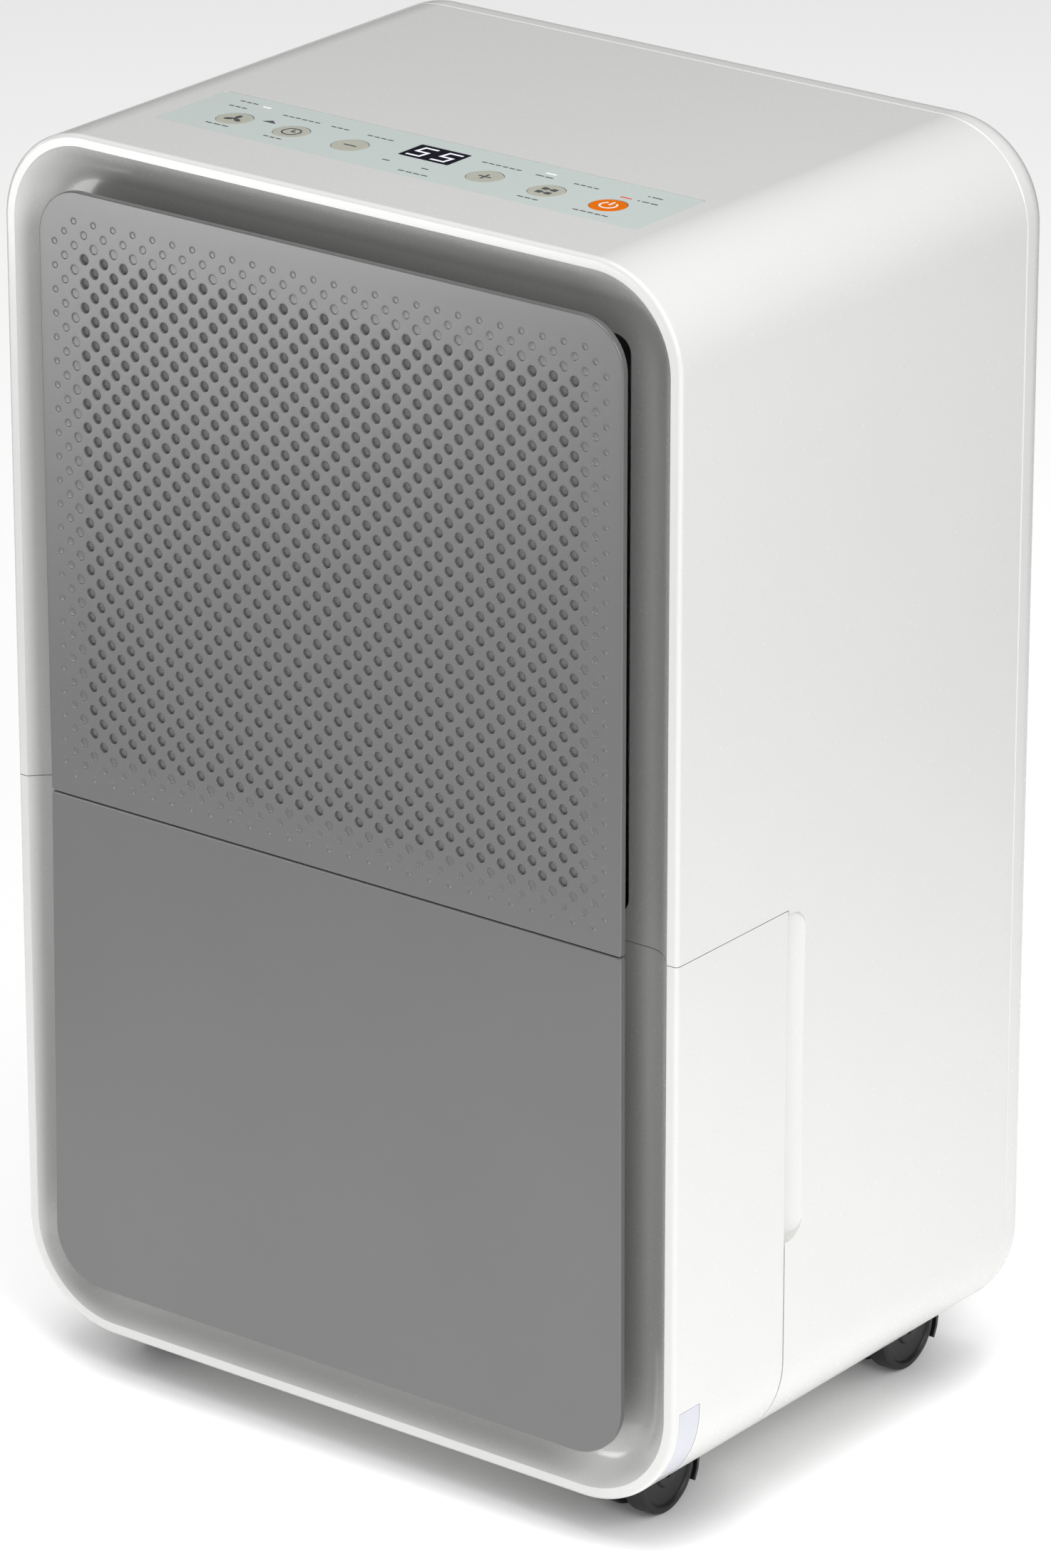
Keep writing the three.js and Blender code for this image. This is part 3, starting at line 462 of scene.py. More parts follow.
def painted_light_paper(name):
    """Studio paper that glows with painted light: white along the middle of the set, with a painted
    falloff greyer out to its sides and painted shadow where whatever stands on it shuts it in."""
    material, tree, shader = blank(name)
    coords = object_coords(tree)
    across = add(tree, "ShaderNodeSeparateXYZ", None, {"Vector": coords}).outputs["X"]
    away = add(tree, "ShaderNodeMath", {"operation": "ABSOLUTE"}, {0: across}).outputs[0]
    painted_falloff = spread(tree, away, 1, 0, 0.45, 1.0)
    mottled = spread(tree, noise(tree, coords, 300), 0.985, 1)
    # painted shadow: colour and glow drop where other surfaces close over the paper
    clear = spread(tree, occlusion_shade(tree, 0.06), 0.1, 1, 0.1, 0.8)
    even = add(tree, "ShaderNodeMath", {"operation": "MULTIPLY"}, {0: painted_falloff, 1: mottled})
    mottle_and_painted_light = add(tree, "ShaderNodeMath", {"operation": "MULTIPLY"},
                {0: even.outputs[0], 1: clear}).outputs[0]
    tree.links.new(blend(tree, mottle_and_painted_light, scaled(WHITE_LIGHT, 0.4), scaled(WHITE_LIGHT, 0.93)),
                   shader.inputs["Base Color"])
    # the paper glows: painted light, carrying the painted falloff and painted shadow
    tree.links.new(spread(tree, mottle_and_painted_light, 0.02, 0.45, 0, 1), shader.inputs["Emission Strength"])
    constants(shader, {"Emission Color": WHITE_LIGHT, "Roughness": 0.9})
    return material


LOOKS = {
    "white": moulded("gloss_white", srgb(226, 226, 224), 0.24, 700, 0.03, 0.006,
                     Coat_Weight=0.25, Coat_Roughness=0.08),
    # the cove look paints shade into the coves round the front panels
    "cove": shade_painted_gloss("gloss_white_painted_shade", srgb(226, 226, 224), 0.24, 0.03, 0.7,
                      Coat_Weight=0.25, Coat_Roughness=0.08),
    "grey": moulded("satin_grey", srgb(114, 115, 114), 0.31, 2600, 0.12, 0.015, Metallic=0.3),
    "overlay": moulded("label_film", srgb(207, 217, 214), 0.3, 1800, 0.05, 0.008),
    "key": moulded("key_plastic", srgb(188, 188, 176), 0.38, 1800, 0.08),
    "orange": moulded("power_key_plastic", srgb(226, 112, 8), 0.4, 1800, 0.08,
                      Specular_IOR_Level=0.05),
    "lens": moulded("display_lens", srgb(26, 24, 36), 0.12, 900, 0.01, 0.05,
                    Specular_IOR_Level=0.02),
    "window": moulded("strip_window", srgb(212, 212, 221), 0.2, 1200, 0.03, 0.02,
                      Subsurface_Weight=0.2, Subsurface_Scale=0.003),
    "tank": moulded("tank_plastic", srgb(214, 226, 232), 0.2, 900, 0.04, 0.02,
                    Transmission_Weight=0.45, IOR=1.49),
    "inner": moulded("inner_plastic", srgb(186, 188, 185), 0.5, 1300, 0.15, 0.03),
    # painted shade: the filter frame's dark grey stands in for the deep shade behind the front panel's
    # edges
    "dark": moulded("shade_dark_plastic", srgb(52, 53, 54), 0.55, 1300, 0.15, 0.03),
    "black": moulded("black_plastic", srgb(28, 28, 29), 0.38, 1500, 0.12, 0.06),
    "rubber": moulded("black_rubber", srgb(24, 24, 25), 0.5, 2200, 0.3, 0.08),
    "steel": metal("steel", srgb(186, 189, 192), 0.32, (1, 1, 12)),
    "painted": moulded("black_paint", srgb(34, 36, 39), 0.42, 500, 0.2, 0.08, Coat_Weight=0.3),
    "copper": metal("copper", srgb(196, 118, 80), 0.3, (3, 1, 1), 500, 0.3),
    "fin": metal("aluminium_fin", srgb(204, 208, 210), 0.36, (30, 1, 1), 300, 0.08),
    "board": circuit("circuit_board"),
    "foam": foam("float_foam", srgb(233, 229, 217)),
    "net": woven("filter_net", srgb(150, 151, 150), srgb(136, 137, 136), 0.0009),
    "print": moulded("grey_print", srgb(84, 88, 88), 0.5, 2000, 0.05, Specular_IOR_Level=0.04),
    "pale_print": moulded("pale_print", srgb(250, 250, 248), 0.35, 2000, 0.05),
    "lamp": glow("white_lamp", srgb(252, 254, 255), 0.25),
    "red_lamp": glow("red_lamp", srgb(214, 62, 48), 0.3),
    "digit": glow("display_digit", srgb(226, 228, 236), 0.5),
}


# ------------------------------------------------------------------ casing


def cove(start, end, steps=14):
    """The soft curve from the rim down to the cove's floor, as (inset, d)."""
    a, b, c, e = start, (9.5, 4.9), (13.5, COVE_D), end
    points = []
    for i in range(steps + 1):
        t = i / steps
        weights = ((1 - t) ** 3, 3 * t * (1 - t) ** 2, 3 * t * t * (1 - t), t ** 3)
        points.append(tuple(sum(w * p[k] for w, p in zip(weights, (a, b, c, e)))
                            for k in (0, 1)))
    return points


RIM_EDGE = arc((1.8, 1.8), 1.8, 180, 270, 8)
COVE_END = (21.5, COVE_D)
COVE_BACK = [(21.5, COVE_D + WALL), (13.2, 11.4), (8.2, 8.0)]


def recess(grow):
    """Plan of the finger recess behind the right wing's rear edge, as (x, d)."""
    depth, back, front = RECESS["depth"] + grow, RECESS["d1"] + grow, RECESS["d0"] - grow
    scoop = [(HALF_W - depth * (1 - t ** 1.2), front + (back - front) * t)
             for t in [1 - i / 14 for i in range(15)]]
    return [(HALF_W + 5, front), (HALF_W + 5, back), *scoop]


def main_housing():
    section = [(0, REAR_SEAM_D - 0.4), *RIM_EDGE, *arc((RIM - 0.15, 0.15), 0.15, 270, 360, 3),
               (RIM, 12), (WALL, 15), (WALL, REAR_SEAM_D), (0.4, REAR_SEAM_D)]
    shell = cut(sweep(section), below(BASE_SEAM_H),
                block(-FAR, FAR, -FAR, WING_D + FIT, -FAR, SEAM_H + FIT / 2))
    wall = prism("h", recess(1.5), RECESS["h0"] - 1.5, RECESS["h1"] + 1.5)
    room = join(block(0, HALF_W - WALL - 0.5, -FAR, WING_D + FIT, 0, FAR),
                block(0, HALF_W - 0.5, WING_D + FIT - 1, FAR, 0, FAR))
    keep(wall, room)
    hollow = prism("h", recess(0), RECESS["h0"], RECESS["h1"])
    keep(hollow, prism("x", rounded(20, RECESS["d1"], RECESS["h0"], RECESS["h1"], 8.5),
                       100, 200))
    plate = block(OVERLAY["x0"] - 3, OVERLAY["x1"] + 3, OVERLAY["d0"] - 3, OVERLAY["d1"] + 3,
                  BODY_H - 4.5, BODY_H - WALL + 0.1)
    join(shell, wall, mirrored(wall), plate)
    label = prism("h", rounded(OVERLAY["x0"] - 0.15, OVERLAY["x1"] + 0.15,
                               OVERLAY["d0"] - 0.15, OVERLAY["d1"] + 0.15, 2), BODY_H - 1.8,
                  BODY_H + 1)
    stems = [rod("h", (x, KEY_D), 3.6, BODY_H - 6, BODY_H + 1, 24) for x in KEYS.values()]
    display = block(DISPLAY["x0"] + 1.5, DISPLAY["x1"] - 1.5, DISPLAY["d0"] + 1.5,
                    DISPLAY["d1"] - 1.5, BODY_H - 6, BODY_H + 1)
    cut(shell, hollow, mirrored(hollow), label, display, *stems)
    finish(shell, "housing_shell", "casing", LOOKS["white"], ["main_housing"])


def intake_bezel():
    front = cove((RIM + 0.06, 0.12), COVE_END)
    section = [*front, (27, COVE_D), (27, COVE_D + WALL), *COVE_BACK, (RIM + 0.06, 4)]
    plate = prism("d", outline(26), COVE_D, COVE_D + WALL)
    opening = prism("d", rounded(*INTAKE, 8), 0, 20)
    bezel = join(sweep(section), plate)
    cut(bezel, opening, below(SEAM_H + FIT / 2))
    # the cove material paints shade into the cove
    finish(bezel, "intake_cove", "casing", LOOKS["cove"], ["intake_bezel"])


def rear_round(wall, steps=10):
    """Quarter circle of (inset, d) points that rounds the rear edge."""
    radius = REAR_ROUND - wall
    return arc((REAR_ROUND, BODY_D - REAR_ROUND), radius, 180, 90, steps)


def rear_cover():
    inset = REAR_ROUND + 10
    section = [(0.4, REAR_SEAM_D + FIT), (0, REAR_SEAM_D + FIT + 0.4), *rear_round(0),
               (inset, BODY_D), (inset, BODY_D - WALL), *reversed(rear_round(WALL)),
               (WALL, REAR_SEAM_D + FIT)]
    cover = join(sweep(section), prism("d", outline(inset - 1), BODY_D - WALL, BODY_D))
    cut(cover, prism("d", rounded(-OUTLET_HALF_W, OUTLET_HALF_W, *OUTLET, 4), BODY_D - 20, BODY_D + 5),
        rod("d", DRAIN, DRAIN_HOLE_R, BODY_D - 20, BODY_D + 5),
        rod("d", CORD, CORD_HOLE_R, BODY_D - 20, BODY_D + 5),
        below(BASE_SEAM_H + FIT))
    finish(cover, "rear_shell", "casing", LOOKS["white"], ["rear_cover"])


def rear_grille():
    low, high = OUTLET
    half_w, border = OUTLET_HALF_W - FIT, 7
    inner_w = OUTLET_HALF_W - border
    rings = [(0.9, 245.4), (0, 246.2), (0, 249.2), (0.6, 249.8)]
    grille = skin([[(x, d, h) for x, h in rounded(-half_w, half_w, low + FIT, high - FIT, 4, 4,
                                                  inset)] for inset, d in rings])
    cut(grille, prism("d", rounded(-inner_w, inner_w, low + border, high - border, 3), 240, 255))
    step = (high - low - 2 * border) / SLATS
    flat = arc((1.5, 0), 0.75, -90, 90, 6) + arc((-1.5, 0), 0.75, 90, 270, 6)
    across, up = math.cos(SLAT_LEAN), math.sin(SLAT_LEAN)
    slats = []
    for i in range(SLATS):
        middle = low + border + (i + 0.5) * step
        tilted = [(247.6 + a * across - b * up, middle + a * up + b * across) for a, b in flat]
        slats.append(prism("x", tilted, -inner_w - 0.5, inner_w + 0.5))
    join(grille, *slats, block(-1.2, 1.2, 245.6, 247, low + 6, high - 6))
    finish(grille, "outlet_louvres", "casing", LOOKS["white"], ["rear_grille"])


def base_pan():
    pan = loft([(0.4, BASE_SEAM_H + FIT), (0, BASE_SEAM_H + FIT + 0.4), *rear_round(0)])
    hollow = loft([(WALL, 17 + FIT), *rear_round(WALL)])
    cut(pan, hollow, above(BASE_SEAM_H - FIT),
        block(-SUMP_HALF_W - 8, SUMP_HALF_W + 8, 0, 19, TANK_BOTTOM - 2, 20))
    limit = loft([(0.2, BASE_SEAM_H + FIT), *rear_round(0.2)])
    wells = [(side * CASTER_X, d) for d in CASTER_D for side in (1, -1)]
    cups = [join(rod("h", well, WELL_R + CUP_WALL, 0.5, WELL_TOP + 2),
                 rod("h", well, SOCKET_R + SOCKET_WALL, WELL_TOP, SOCKET_TOP + 1))
            for well in wells]
    for cup in cups:
        keep(cup, mirrored(limit))
    bpy.data.objects.remove(limit)
    voids = [join(rod("h", well, WELL_R, -5, WELL_TOP),
                  rod("h", well, SOCKET_R, WELL_TOP - 1, SOCKET_TOP)) for well in wells]
    rails = [block(x - 2, x + 2, 20, TANK_BACK, 1, TANK_BOTTOM - FIT) for x in (-60, 60)]
    pad = hoop("h", COMPRESSOR, [(34, 1), (48, 1), (48, 8), (34, 8)])
    join(pan, *cups, *rails, pad)
    cut(pan, *voids)
    finish(pan, "base_tray", "casing", LOOKS["white"], ["base_pan"])


# ------------------------------------------------------------------ front panels

PITCH_X, PITCH_H = 5.135, 5.091
LATTICE_TOP = 493.6
LAST_COLUMN, LAST_ROW = 54, 47
SKIN_T = 1.2
PITS = [
    [(1.6, 0), (1.46, 0.05), (1.2, 0.16), (0.8, 0.25)],
    [(1.9, 0), (1.79, 0.04), (1.65, 0.14), (1.5, 0.36), (1.1, 0.46)],
    [(2.25, 0), (2.14, 0.05), (2.02, 0.18), (1.93, 0.5), (1.6, 0.62)],
    [(2.5, 0), (2.36, 0.05), (2.22, 0.17), (2.15, 0.4), (2.14, SKIN_T)],
]
PIT_SIDES = 16


def lattice():
    """The panel's hole places as (column, row, ring): rings 0 to 2 are blind, 3 goes through."""
    cells = []
    for row in range(LAST_ROW + 1):
        for column in range(row % 2, LAST_COLUMN + 1, 2):
            ring = min(column, LAST_COLUMN - column, row, LAST_ROW - row)
            if row < 3 and row in (column, LAST_COLUMN - column):
                ring -= 1
            if ring >= 0:
                cells.append((column, row, min(ring, 3)))
    return cells


def spot(column, row):
    return (column - LAST_COLUMN / 2) * PITCH_X, LATTICE_TOP - row * PITCH_H


class Skin:
    """Collects shared points and faces of the perforated panel."""

    def __init__(self):
        self.points, self.faces, self.known = [], [], {}

    def point(self, x, h, depth, key=None):
        if key is not None and key in self.known:
            return self.known[key]
        self.points.append((x, depth - PANEL_PROUD, h))
        if key is not None:
            self.known[key] = len(self.points) - 1
        return len(self.points) - 1

    def corner(self, column, row, depth):
        return self.point(*spot(column, row), depth, (column, row, depth))

    def circle(self, x, h, radius, depth):
        return [self.point(x + radius * math.cos(2 * math.pi * i / PIT_SIDES),
                           h + radius * math.sin(2 * math.pi * i / PIT_SIDES), depth)
                for i in range(PIT_SIDES)]

    def frill(self, corners, ring):
        """Fills between a cell's four corners and a circle inside it."""
        quarter = PIT_SIDES // 4
        for q in range(4):
            arc_back = [ring[(q * quarter + k) % PIT_SIDES] for k in range(quarter, -1, -1)]
            self.faces.append((corners[q], corners[(q + 1) % 4], *arc_back))

    def wall(self, first, second):
        for i in range(len(first)):
            j = (i + 1) % len(first)
            self.faces.append((first[i], first[j], second[j], second[i]))


AROUND = [(1, 0), (0, -1), (-1, 0), (0, 1)]  # a diamond cell's corners, in lattice steps


def cell_corners(panel, column, row, depth):
    return [panel.corner(column + a, row + b, depth) for a, b in AROUND]


def add_cells(panel, cells):
    for column, row, ring in cells:
        x, h = spot(column, row)
        front = cell_corners(panel, column, row, 0)
        back = cell_corners(panel, column, row, SKIN_T)
        rings = [panel.circle(x, h, radius, depth) for radius, depth in PITS[ring]]
        panel.frill(front, rings[0])
        for first, second in zip(rings, rings[1:]):
            panel.wall(first, second)
        if ring == 3:
            panel.frill(back, rings[-1])
        else:
            panel.faces.append(tuple(rings[-1]))
            panel.faces.append(tuple(back))


def lattice_border(cells):
    """Edges of the lattice that only one cell has, as pairs of (column, row)."""
    seen = {}
    for column, row, _ in cells:
        corners = [(column + a, row + b) for a, b in AROUND]
        for i in range(4):
            pair = tuple(sorted((corners[i], corners[(i + 1) % 4])))
            seen[pair] = seen.get(pair, 0) + 1
    return [pair for pair, count in seen.items() if count == 1]


def panel_outline(inset):
    return rounded(-PANEL_HALF_W, PANEL_HALF_W, SEAM_H + 0.4, PANEL_TOP, 1.2, 21, inset, 16)


def front_grille():
    panel, cells = Skin(), lattice()
    add_cells(panel, cells)
    border = lattice_border(cells)
    nodes = sorted({node for pair in border for node in pair})
    order = {node: i for i, node in enumerate(nodes)}
    edge = 0.55
    rim = panel_outline(edge)
    flat = [Vector(spot(*node)) for node in nodes] + [Vector(p) for p in rim]
    wires = [(order[a], order[b]) for a, b in border]
    start = len(nodes)
    wires += [(start + i, start + (i + 1) % len(rim)) for i in range(len(rim))]
    points, _, triangles, origin, _, _ = delaunay_2d_cdt(flat, wires, [], 1, 1e-5)
    inside = {(column, row) for column, row, _ in cells}

    def in_cell(x, h):
        column, row = x / PITCH_X + LAST_COLUMN / 2, (LATTICE_TOP - h) / PITCH_H
        for a in (math.floor(column), math.floor(column) + 1):
            for b in (math.floor(row), math.floor(row) + 1):
                if (a, b) in inside and abs(column - a) + abs(row - b) < 1.001:
                    return True
        return False

    profile = [(edge, 0), *[(edge - edge * math.sin(t), edge - edge * math.cos(t))
                            for t in (0.4, 0.8, 1.2)], (0, edge), (0, PANEL_T - edge),
               (edge * 0.3, PANEL_T - edge * 0.3), (edge, PANEL_T)]
    loops = [[panel.point(x, h, depth) for x, h in panel_outline(inset)]
             for inset, depth in profile]
    for first, second in zip(loops, loops[1:]):
        panel.wall(first, second)
    for depth, loop in ((0, loops[0]), (PANEL_T, loops[-1])):
        for triangle in triangles:
            x = sum(points[i].x for i in triangle) / 3
            h = sum(points[i].y for i in triangle) / 3
            if not in_cell(x, h):
                ids = [origin[i][0] for i in triangle]
                panel.faces.append(tuple(panel.corner(*nodes[i], depth) if i < start
                                         else loop[i - start] for i in ids))
    for a, b in border:
        panel.faces.append((panel.corner(*a, SKIN_T), panel.corner(*b, SKIN_T),
                            panel.corner(*b, PANEL_T), panel.corner(*a, PANEL_T)))
    grille = build("grille", panel.points, panel.faces)
    finish(grille, "perforated_panel", "intake_panel", LOOKS["grey"], ["front_grille"])


def lean(obj):
    """The lower panel comes forward and widens a little towards its bottom edge."""
    for vertex in obj.data.vertices:
        down = (SEAM_H - vertex.co.z) / (SEAM_H - PANEL_BOTTOM)
        vertex.co.x *= 1 + 0.0136 * down
        vertex.co.y -= (PANEL_PROUD_LOW - PANEL_PROUD) * down
    return obj


def tank_panel():
    edge = 0.7
    profile = [(edge - edge * math.sin(t), edge - edge * math.cos(t))
               for t in (0, 0.3, 0.6, 0.9, 1.2, math.pi / 2)]
    profile += [(0, PANEL_T - 0.5), (0.15, PANEL_T - 0.15), (0.5, PANEL_T)]
    rings = [[(x, depth - PANEL_PROUD, h)
              for x, h in rounded(-PANEL_HALF_W, PANEL_HALF_W, PANEL_BOTTOM, SEAM_H, 24, 1.4,
                                  inset, 20)] for inset, depth in profile]
    finish(lean(skin(rings)), "tank_front_panel", "tank", LOOKS["grey"],
           ["tank_panel"])


# ------------------------------------------------------------------ water tank

STRIP = {"d0": 3.6, "d1": 17.4, "h0": 15.5, "h1": 48.6}


def strip_band(outer, inner, grow):
    band = sweep([(outer, STRIP["d0"] - grow), (inner, STRIP["d0"] - grow),
                  (inner, STRIP["d1"] + grow), (outer, STRIP["d1"] + grow)])
    return keep(band, block(0, FAR, -FAR, FAR, STRIP["h0"] - grow, STRIP["h1"] + grow))


def tank_cover():
    ring_back = 14
    rim = sweep([(0, ring_back), *RIM_EDGE, *arc((RIM - 0.3, 0.3), 0.3, 270, 330, 2),
                 *cove((RIM + 0.25, 0.45), COVE_END), (26, COVE_D), (26, COVE_D + WALL),
                 *COVE_BACK, (5.6, 4.6), (WALL, 8), (WALL, ring_back)])
    wings = cut(sweep([(0, 9), (0, WING_D - 0.7), *arc((0.7, WING_D - 0.7), 0.7, 180, 90, 4)[1:],
                       (WALL - 0.4, WING_D), (WALL, WING_D - 0.4), (WALL, 9)]),
                below(BASE_SEAM_H))
    ribs = cut(prism("d", rounded(-118, 118, 48, 228, 12), -PANEL_PROUD + PANEL_T + FIT,
                     COVE_D + 1),
               prism("d", rounded(-115.5, 115.5, 50.5, 225.5, 9.5), -20, COVE_D + 5))
    lean(ribs)
    cut(ribs, block(-FAR, FAR, COVE_D + 1, 50, 0, FAR))
    join(rim, prism("d", outline(25), COVE_D, COVE_D + WALL), wings, ribs)
    band = strip_band(-1, 1.5, 0)
    cut(rim, above(SEAM_H - FIT / 2), mirrored(band), band)
    # the cove material paints shade into the cove
    finish(rim, "tank_front_cover", "tank", LOOKS["cove"], ["tank_cover"])


def corner_strips():
    right = soften(strip_band(0.05, 1.2, -0.2), 0.25)
    left = mirrored(right)
    for obj, side in ((right, "right"), (left, "left")):
        finish(obj, f"window_strip_{side}", "tank", LOOKS["window"],
               [f"corner_strip_{side}"])


# ------------------------------------------------------------------ controls on the top face

LABEL_H = BODY_H - 0.1


def control_overlay():
    sheet = prism("h", rounded(OVERLAY["x0"], OVERLAY["x1"], OVERLAY["d0"], OVERLAY["d1"], 1.9),
                  BODY_H - 1.5, LABEL_H)
    holes = [rod("h", (x, KEY_D), KEY_R + 0.2, BODY_H - 3, BODY_H + 1) for x in KEYS.values()]
    window = prism("h", rounded(DISPLAY["x0"] - 0.15, DISPLAY["x1"] + 0.15, DISPLAY["d0"] - 0.15,
                                DISPLAY["d1"] + 0.15, 0.8), BODY_H - 3, BODY_H + 1)
    cut(sheet, window, *holes)
    finish(sheet, "control_label", "casing", LOOKS["overlay"], ["control_overlay"])


def display_lens():
    rings = [(0.0, BODY_H - 1.5), (0.0, LABEL_H - 0.2), (0.06, LABEL_H - 0.06), (0.2, LABEL_H)]
    lens = skin([[(x, d, h) for x, d in rounded(*DISPLAY.values(), 0.8, 0.8, inset, 6)]
                 for inset, h in rings])
    finish(lens, "display_window", "casing", LOOKS["lens"], ["display_lens"])


def key_caps():
    low = BODY_H - 9.2
    for name, x in KEYS.items():
        cap = turned("h", (x, KEY_D), [
            (3, low), (3, BODY_H - 1.1), (KEY_R, BODY_H - 1.1), (KEY_R, BODY_H - 0.5),
            (KEY_R - 0.12, BODY_H - 0.24), (KEY_R - 0.5, LABEL_H), (5.4, LABEL_H - 0.06),
            (2.6, LABEL_H - 0.1)])
        look = "orange" if name == "power" else "key"
        finish(cap, f"{name}_cap", f"{name}_key", LOOKS[look], [f"{name}_button"])


def mark(shape, low=LABEL_H - 0.1, high=LABEL_H + 0.04):
    return prism("h", shape, low, high)


def bar(x0, x1, d0, d1):
    return mark([(x0, d0), (x1, d0), (x1, d1), (x0, d1)])


def disc(x, d, radius, sides=20):
    return mark(arc((x, d), radius, 0, 360 - 360 / sides, sides - 1))


def stroke(points, width):
    """A line of constant width through points, as one flat solid per stretch, joined."""
    parts = []
    for (x0, d0), (x1, d1) in zip(points, points[1:]):
        length = math.hypot(x1 - x0, d1 - d0)
        nx, nd = -(d1 - d0) / length * width / 2, (x1 - x0) / length * width / 2
        parts.append(mark([(x0 - nx, d0 - nd), (x1 - nx, d1 - nd), (x1 + nx, d1 + nd),
                           (x0 + nx, d0 + nd)]))
    parts += [disc(x, d, width / 2, 12) for x, d in points[1:-1]]
    return join(parts[0], *parts[1:]) if len(parts) > 1 else parts[0]


def ring_mark(x, d, outer, inner, start=0, end=360):
    """A flat ring, or part of one, between two radii."""
    full = end - start >= 360
    steps = 28
    out = arc((x, d), outer, start, end - (360 / (steps + 1) if full else 0), steps)
    if full:
        hole = arc((x, d), inner, 0, 360 - 360 / steps, steps - 1)
        return cut(mark(out), mark(hole, LABEL_H - 1, LABEL_H + 1))
    return mark(out + arc((x, d), inner, end, start, steps))


def key_icons():
    x = KEYS["fan_speed"]
    blades = []
    for turn in (90, 210, 330):
        t = math.radians(turn)
        cx, cd = x + 2.5 * math.cos(t), KEY_D + 2.5 * math.sin(t)
        blade = [(cx + 2.1 * math.cos(a) * math.cos(t) - 1.15 * math.sin(a) * math.sin(t),
                  cd + 2.1 * math.cos(a) * math.sin(t) + 1.15 * math.sin(a) * math.cos(t))
                 for a in [2 * math.pi * i / 18 for i in range(18)]]
        blades.append(mark(blade))
    icons = {"fan_speed": join(disc(x, KEY_D, 0.9), *blades)}
    x = KEYS["timer"]
    icons["timer"] = join(ring_mark(x, KEY_D, 4.3, 3.6),
                          stroke([(x, KEY_D + 2.6), (x, KEY_D), (x + 1.9, KEY_D)], 0.65))
    icons["minus"] = bar(KEYS["minus"] - 3, KEYS["minus"] + 3, KEY_D - 0.4, KEY_D + 0.4)
    x = KEYS["plus"]
    icons["plus"] = join(bar(x - 3, x + 3, KEY_D - 0.4, KEY_D + 0.4),
                         bar(x - 0.4, x + 0.4, KEY_D - 3, KEY_D + 3))
    x = KEYS["mode"]
    squares = [bar(x + a - 1.3, x + a + 1.3, KEY_D + b - 1.3, KEY_D + b + 1.3)
               for a in (-2.2, 2.2) for b in (-2.2, 2.2)]
    icons["mode"] = join(squares[0], *squares[1:],
                         bar(x - 1.2, x + 1.2, KEY_D + 1.9, KEY_D + 2.5),
                         bar(x - 1.2, x + 1.2, KEY_D - 2.5, KEY_D - 1.9))
    x = KEYS["power"]
    icons["power"] = join(ring_mark(x, KEY_D, 3.9, 3.1, 125, 415),
                          bar(x - 0.4, x + 0.4, KEY_D + 0.4, KEY_D + 4.4))
    for name, icon in icons.items():
        look = "pale_print" if name == "power" else "print"
        finish(icon, f"{name}_icon", f"{name}_key",
               LOOKS[look], sharp=30)


def digit_five(x0, x1, d0, d1):
    """A slanted seven-segment five."""
    middle, w, slant = (d0 + d1) / 2, 1.25, 0.14
    spans = [(x0, x1, d1 - w, d1), (x0, x0 + w, middle, d1), (x0, x1, middle - w / 2,
             middle + w / 2), (x1 - w, x1, d0, middle), (x0, x1, d0, d0 + w)]
    parts = []
    for a, b, c, e in spans:
        shape = [(x + (d - middle) * slant, d) for x, d in ((a, c), (b, c), (b, e), (a, e))]
        parts.append(mark(shape))
    return join(parts[0], *parts[1:])


def label_prints():
    """Generic dashes where the label has small words, and its small lamps."""
    words = [(-108, -99, 75.5), (-108, -99, 68.2), (-82, -63, 70.6), (-57, -48, 70.5),
             (-38, -25, 70), (-101, -89.5, 44.8), (-71, -62, 44.5), (-13.6, -10, 48.6),
             (6, 9.5, 48.6), (0, 14.5, 41.4), (20, 39.5, 69.8), (47, 55.5, 69.3),
             (66, 78, 69.3), (101, 106, 73.6), (101, 108.6, 66.8), (57.7, 67.7, 43.4),
             (85, 102, 43.2)]
    parts = []
    for x0, x1, d in words:
        count = max(1, round((x1 - x0) / 3.4))
        step = (x1 - x0 + 0.8) / count
        parts += [bar(x0 + i * step, x0 + (i + 1) * step - 0.8, d - 0.45, d + 0.45)
                  for i in range(count)]
    parts += [disc(99.4, d, 0.55, 14) for d in (73.6, 66.8)]
    parts.append(mark([(-83.6, 59.1), (-76.6, 59.1), (-80.1, 62.1)]))
    finish(join(parts[0], *parts[1:]), "label_dashes", "casing", LOOKS["print"])
    lamps = join(bar(-95.5, -91.4, 74, 75), bar(49, 54, 73.1, 74.1))
    finish(lamps, "label_lamps", "casing", LOOKS["lamp"])
    finish(bar(90.5, 96, 66.3, 67.3), "power_lamp", "casing", LOOKS["red_lamp"])
    digits = join(digit_five(-10.2, -3.1, 59.7, 71.2), digit_five(2.0, 9.1, 59.7, 71.2))
    finish(digits, "display_digits", "casing", LOOKS["digit"])


# ------------------------------------------------------------------ casters


def caster_wheel(name, side, d, inner):
    """One wheel of a twin caster: rounded tread, dished face and a raised hub."""
    r = WHEEL_R
    profile = [(2.3, 3.3), (r - 1.5, 3.3), (r - 0.4, 3.9), (r, 5.0), (r, 11.6), (r - 0.4, 12.7),
               (r - 1.4, 13.4), (15.4, 13.5), (14.9, 13.2), (14.5, 12.4), (7.0, 12.1),
               (6.5, 12.5), (6.2, 13.1), (5.6, 13.4), (2.3, 13.4)]
    hand = -side if inner else side
    points = [(radius, side * CASTER_X + hand * along) for radius, along in profile]
    wheel = hoop("x", (d - TRAIL, AXLE_H), points, 72)
    which = "inner" if inner else "outer"
    finish(wheel, f"wheel_{name}_{which}", f"wheel_{name}_{which}", LOOKS["rubber"],
           [f"caster_wheel_{name}_{which}"])


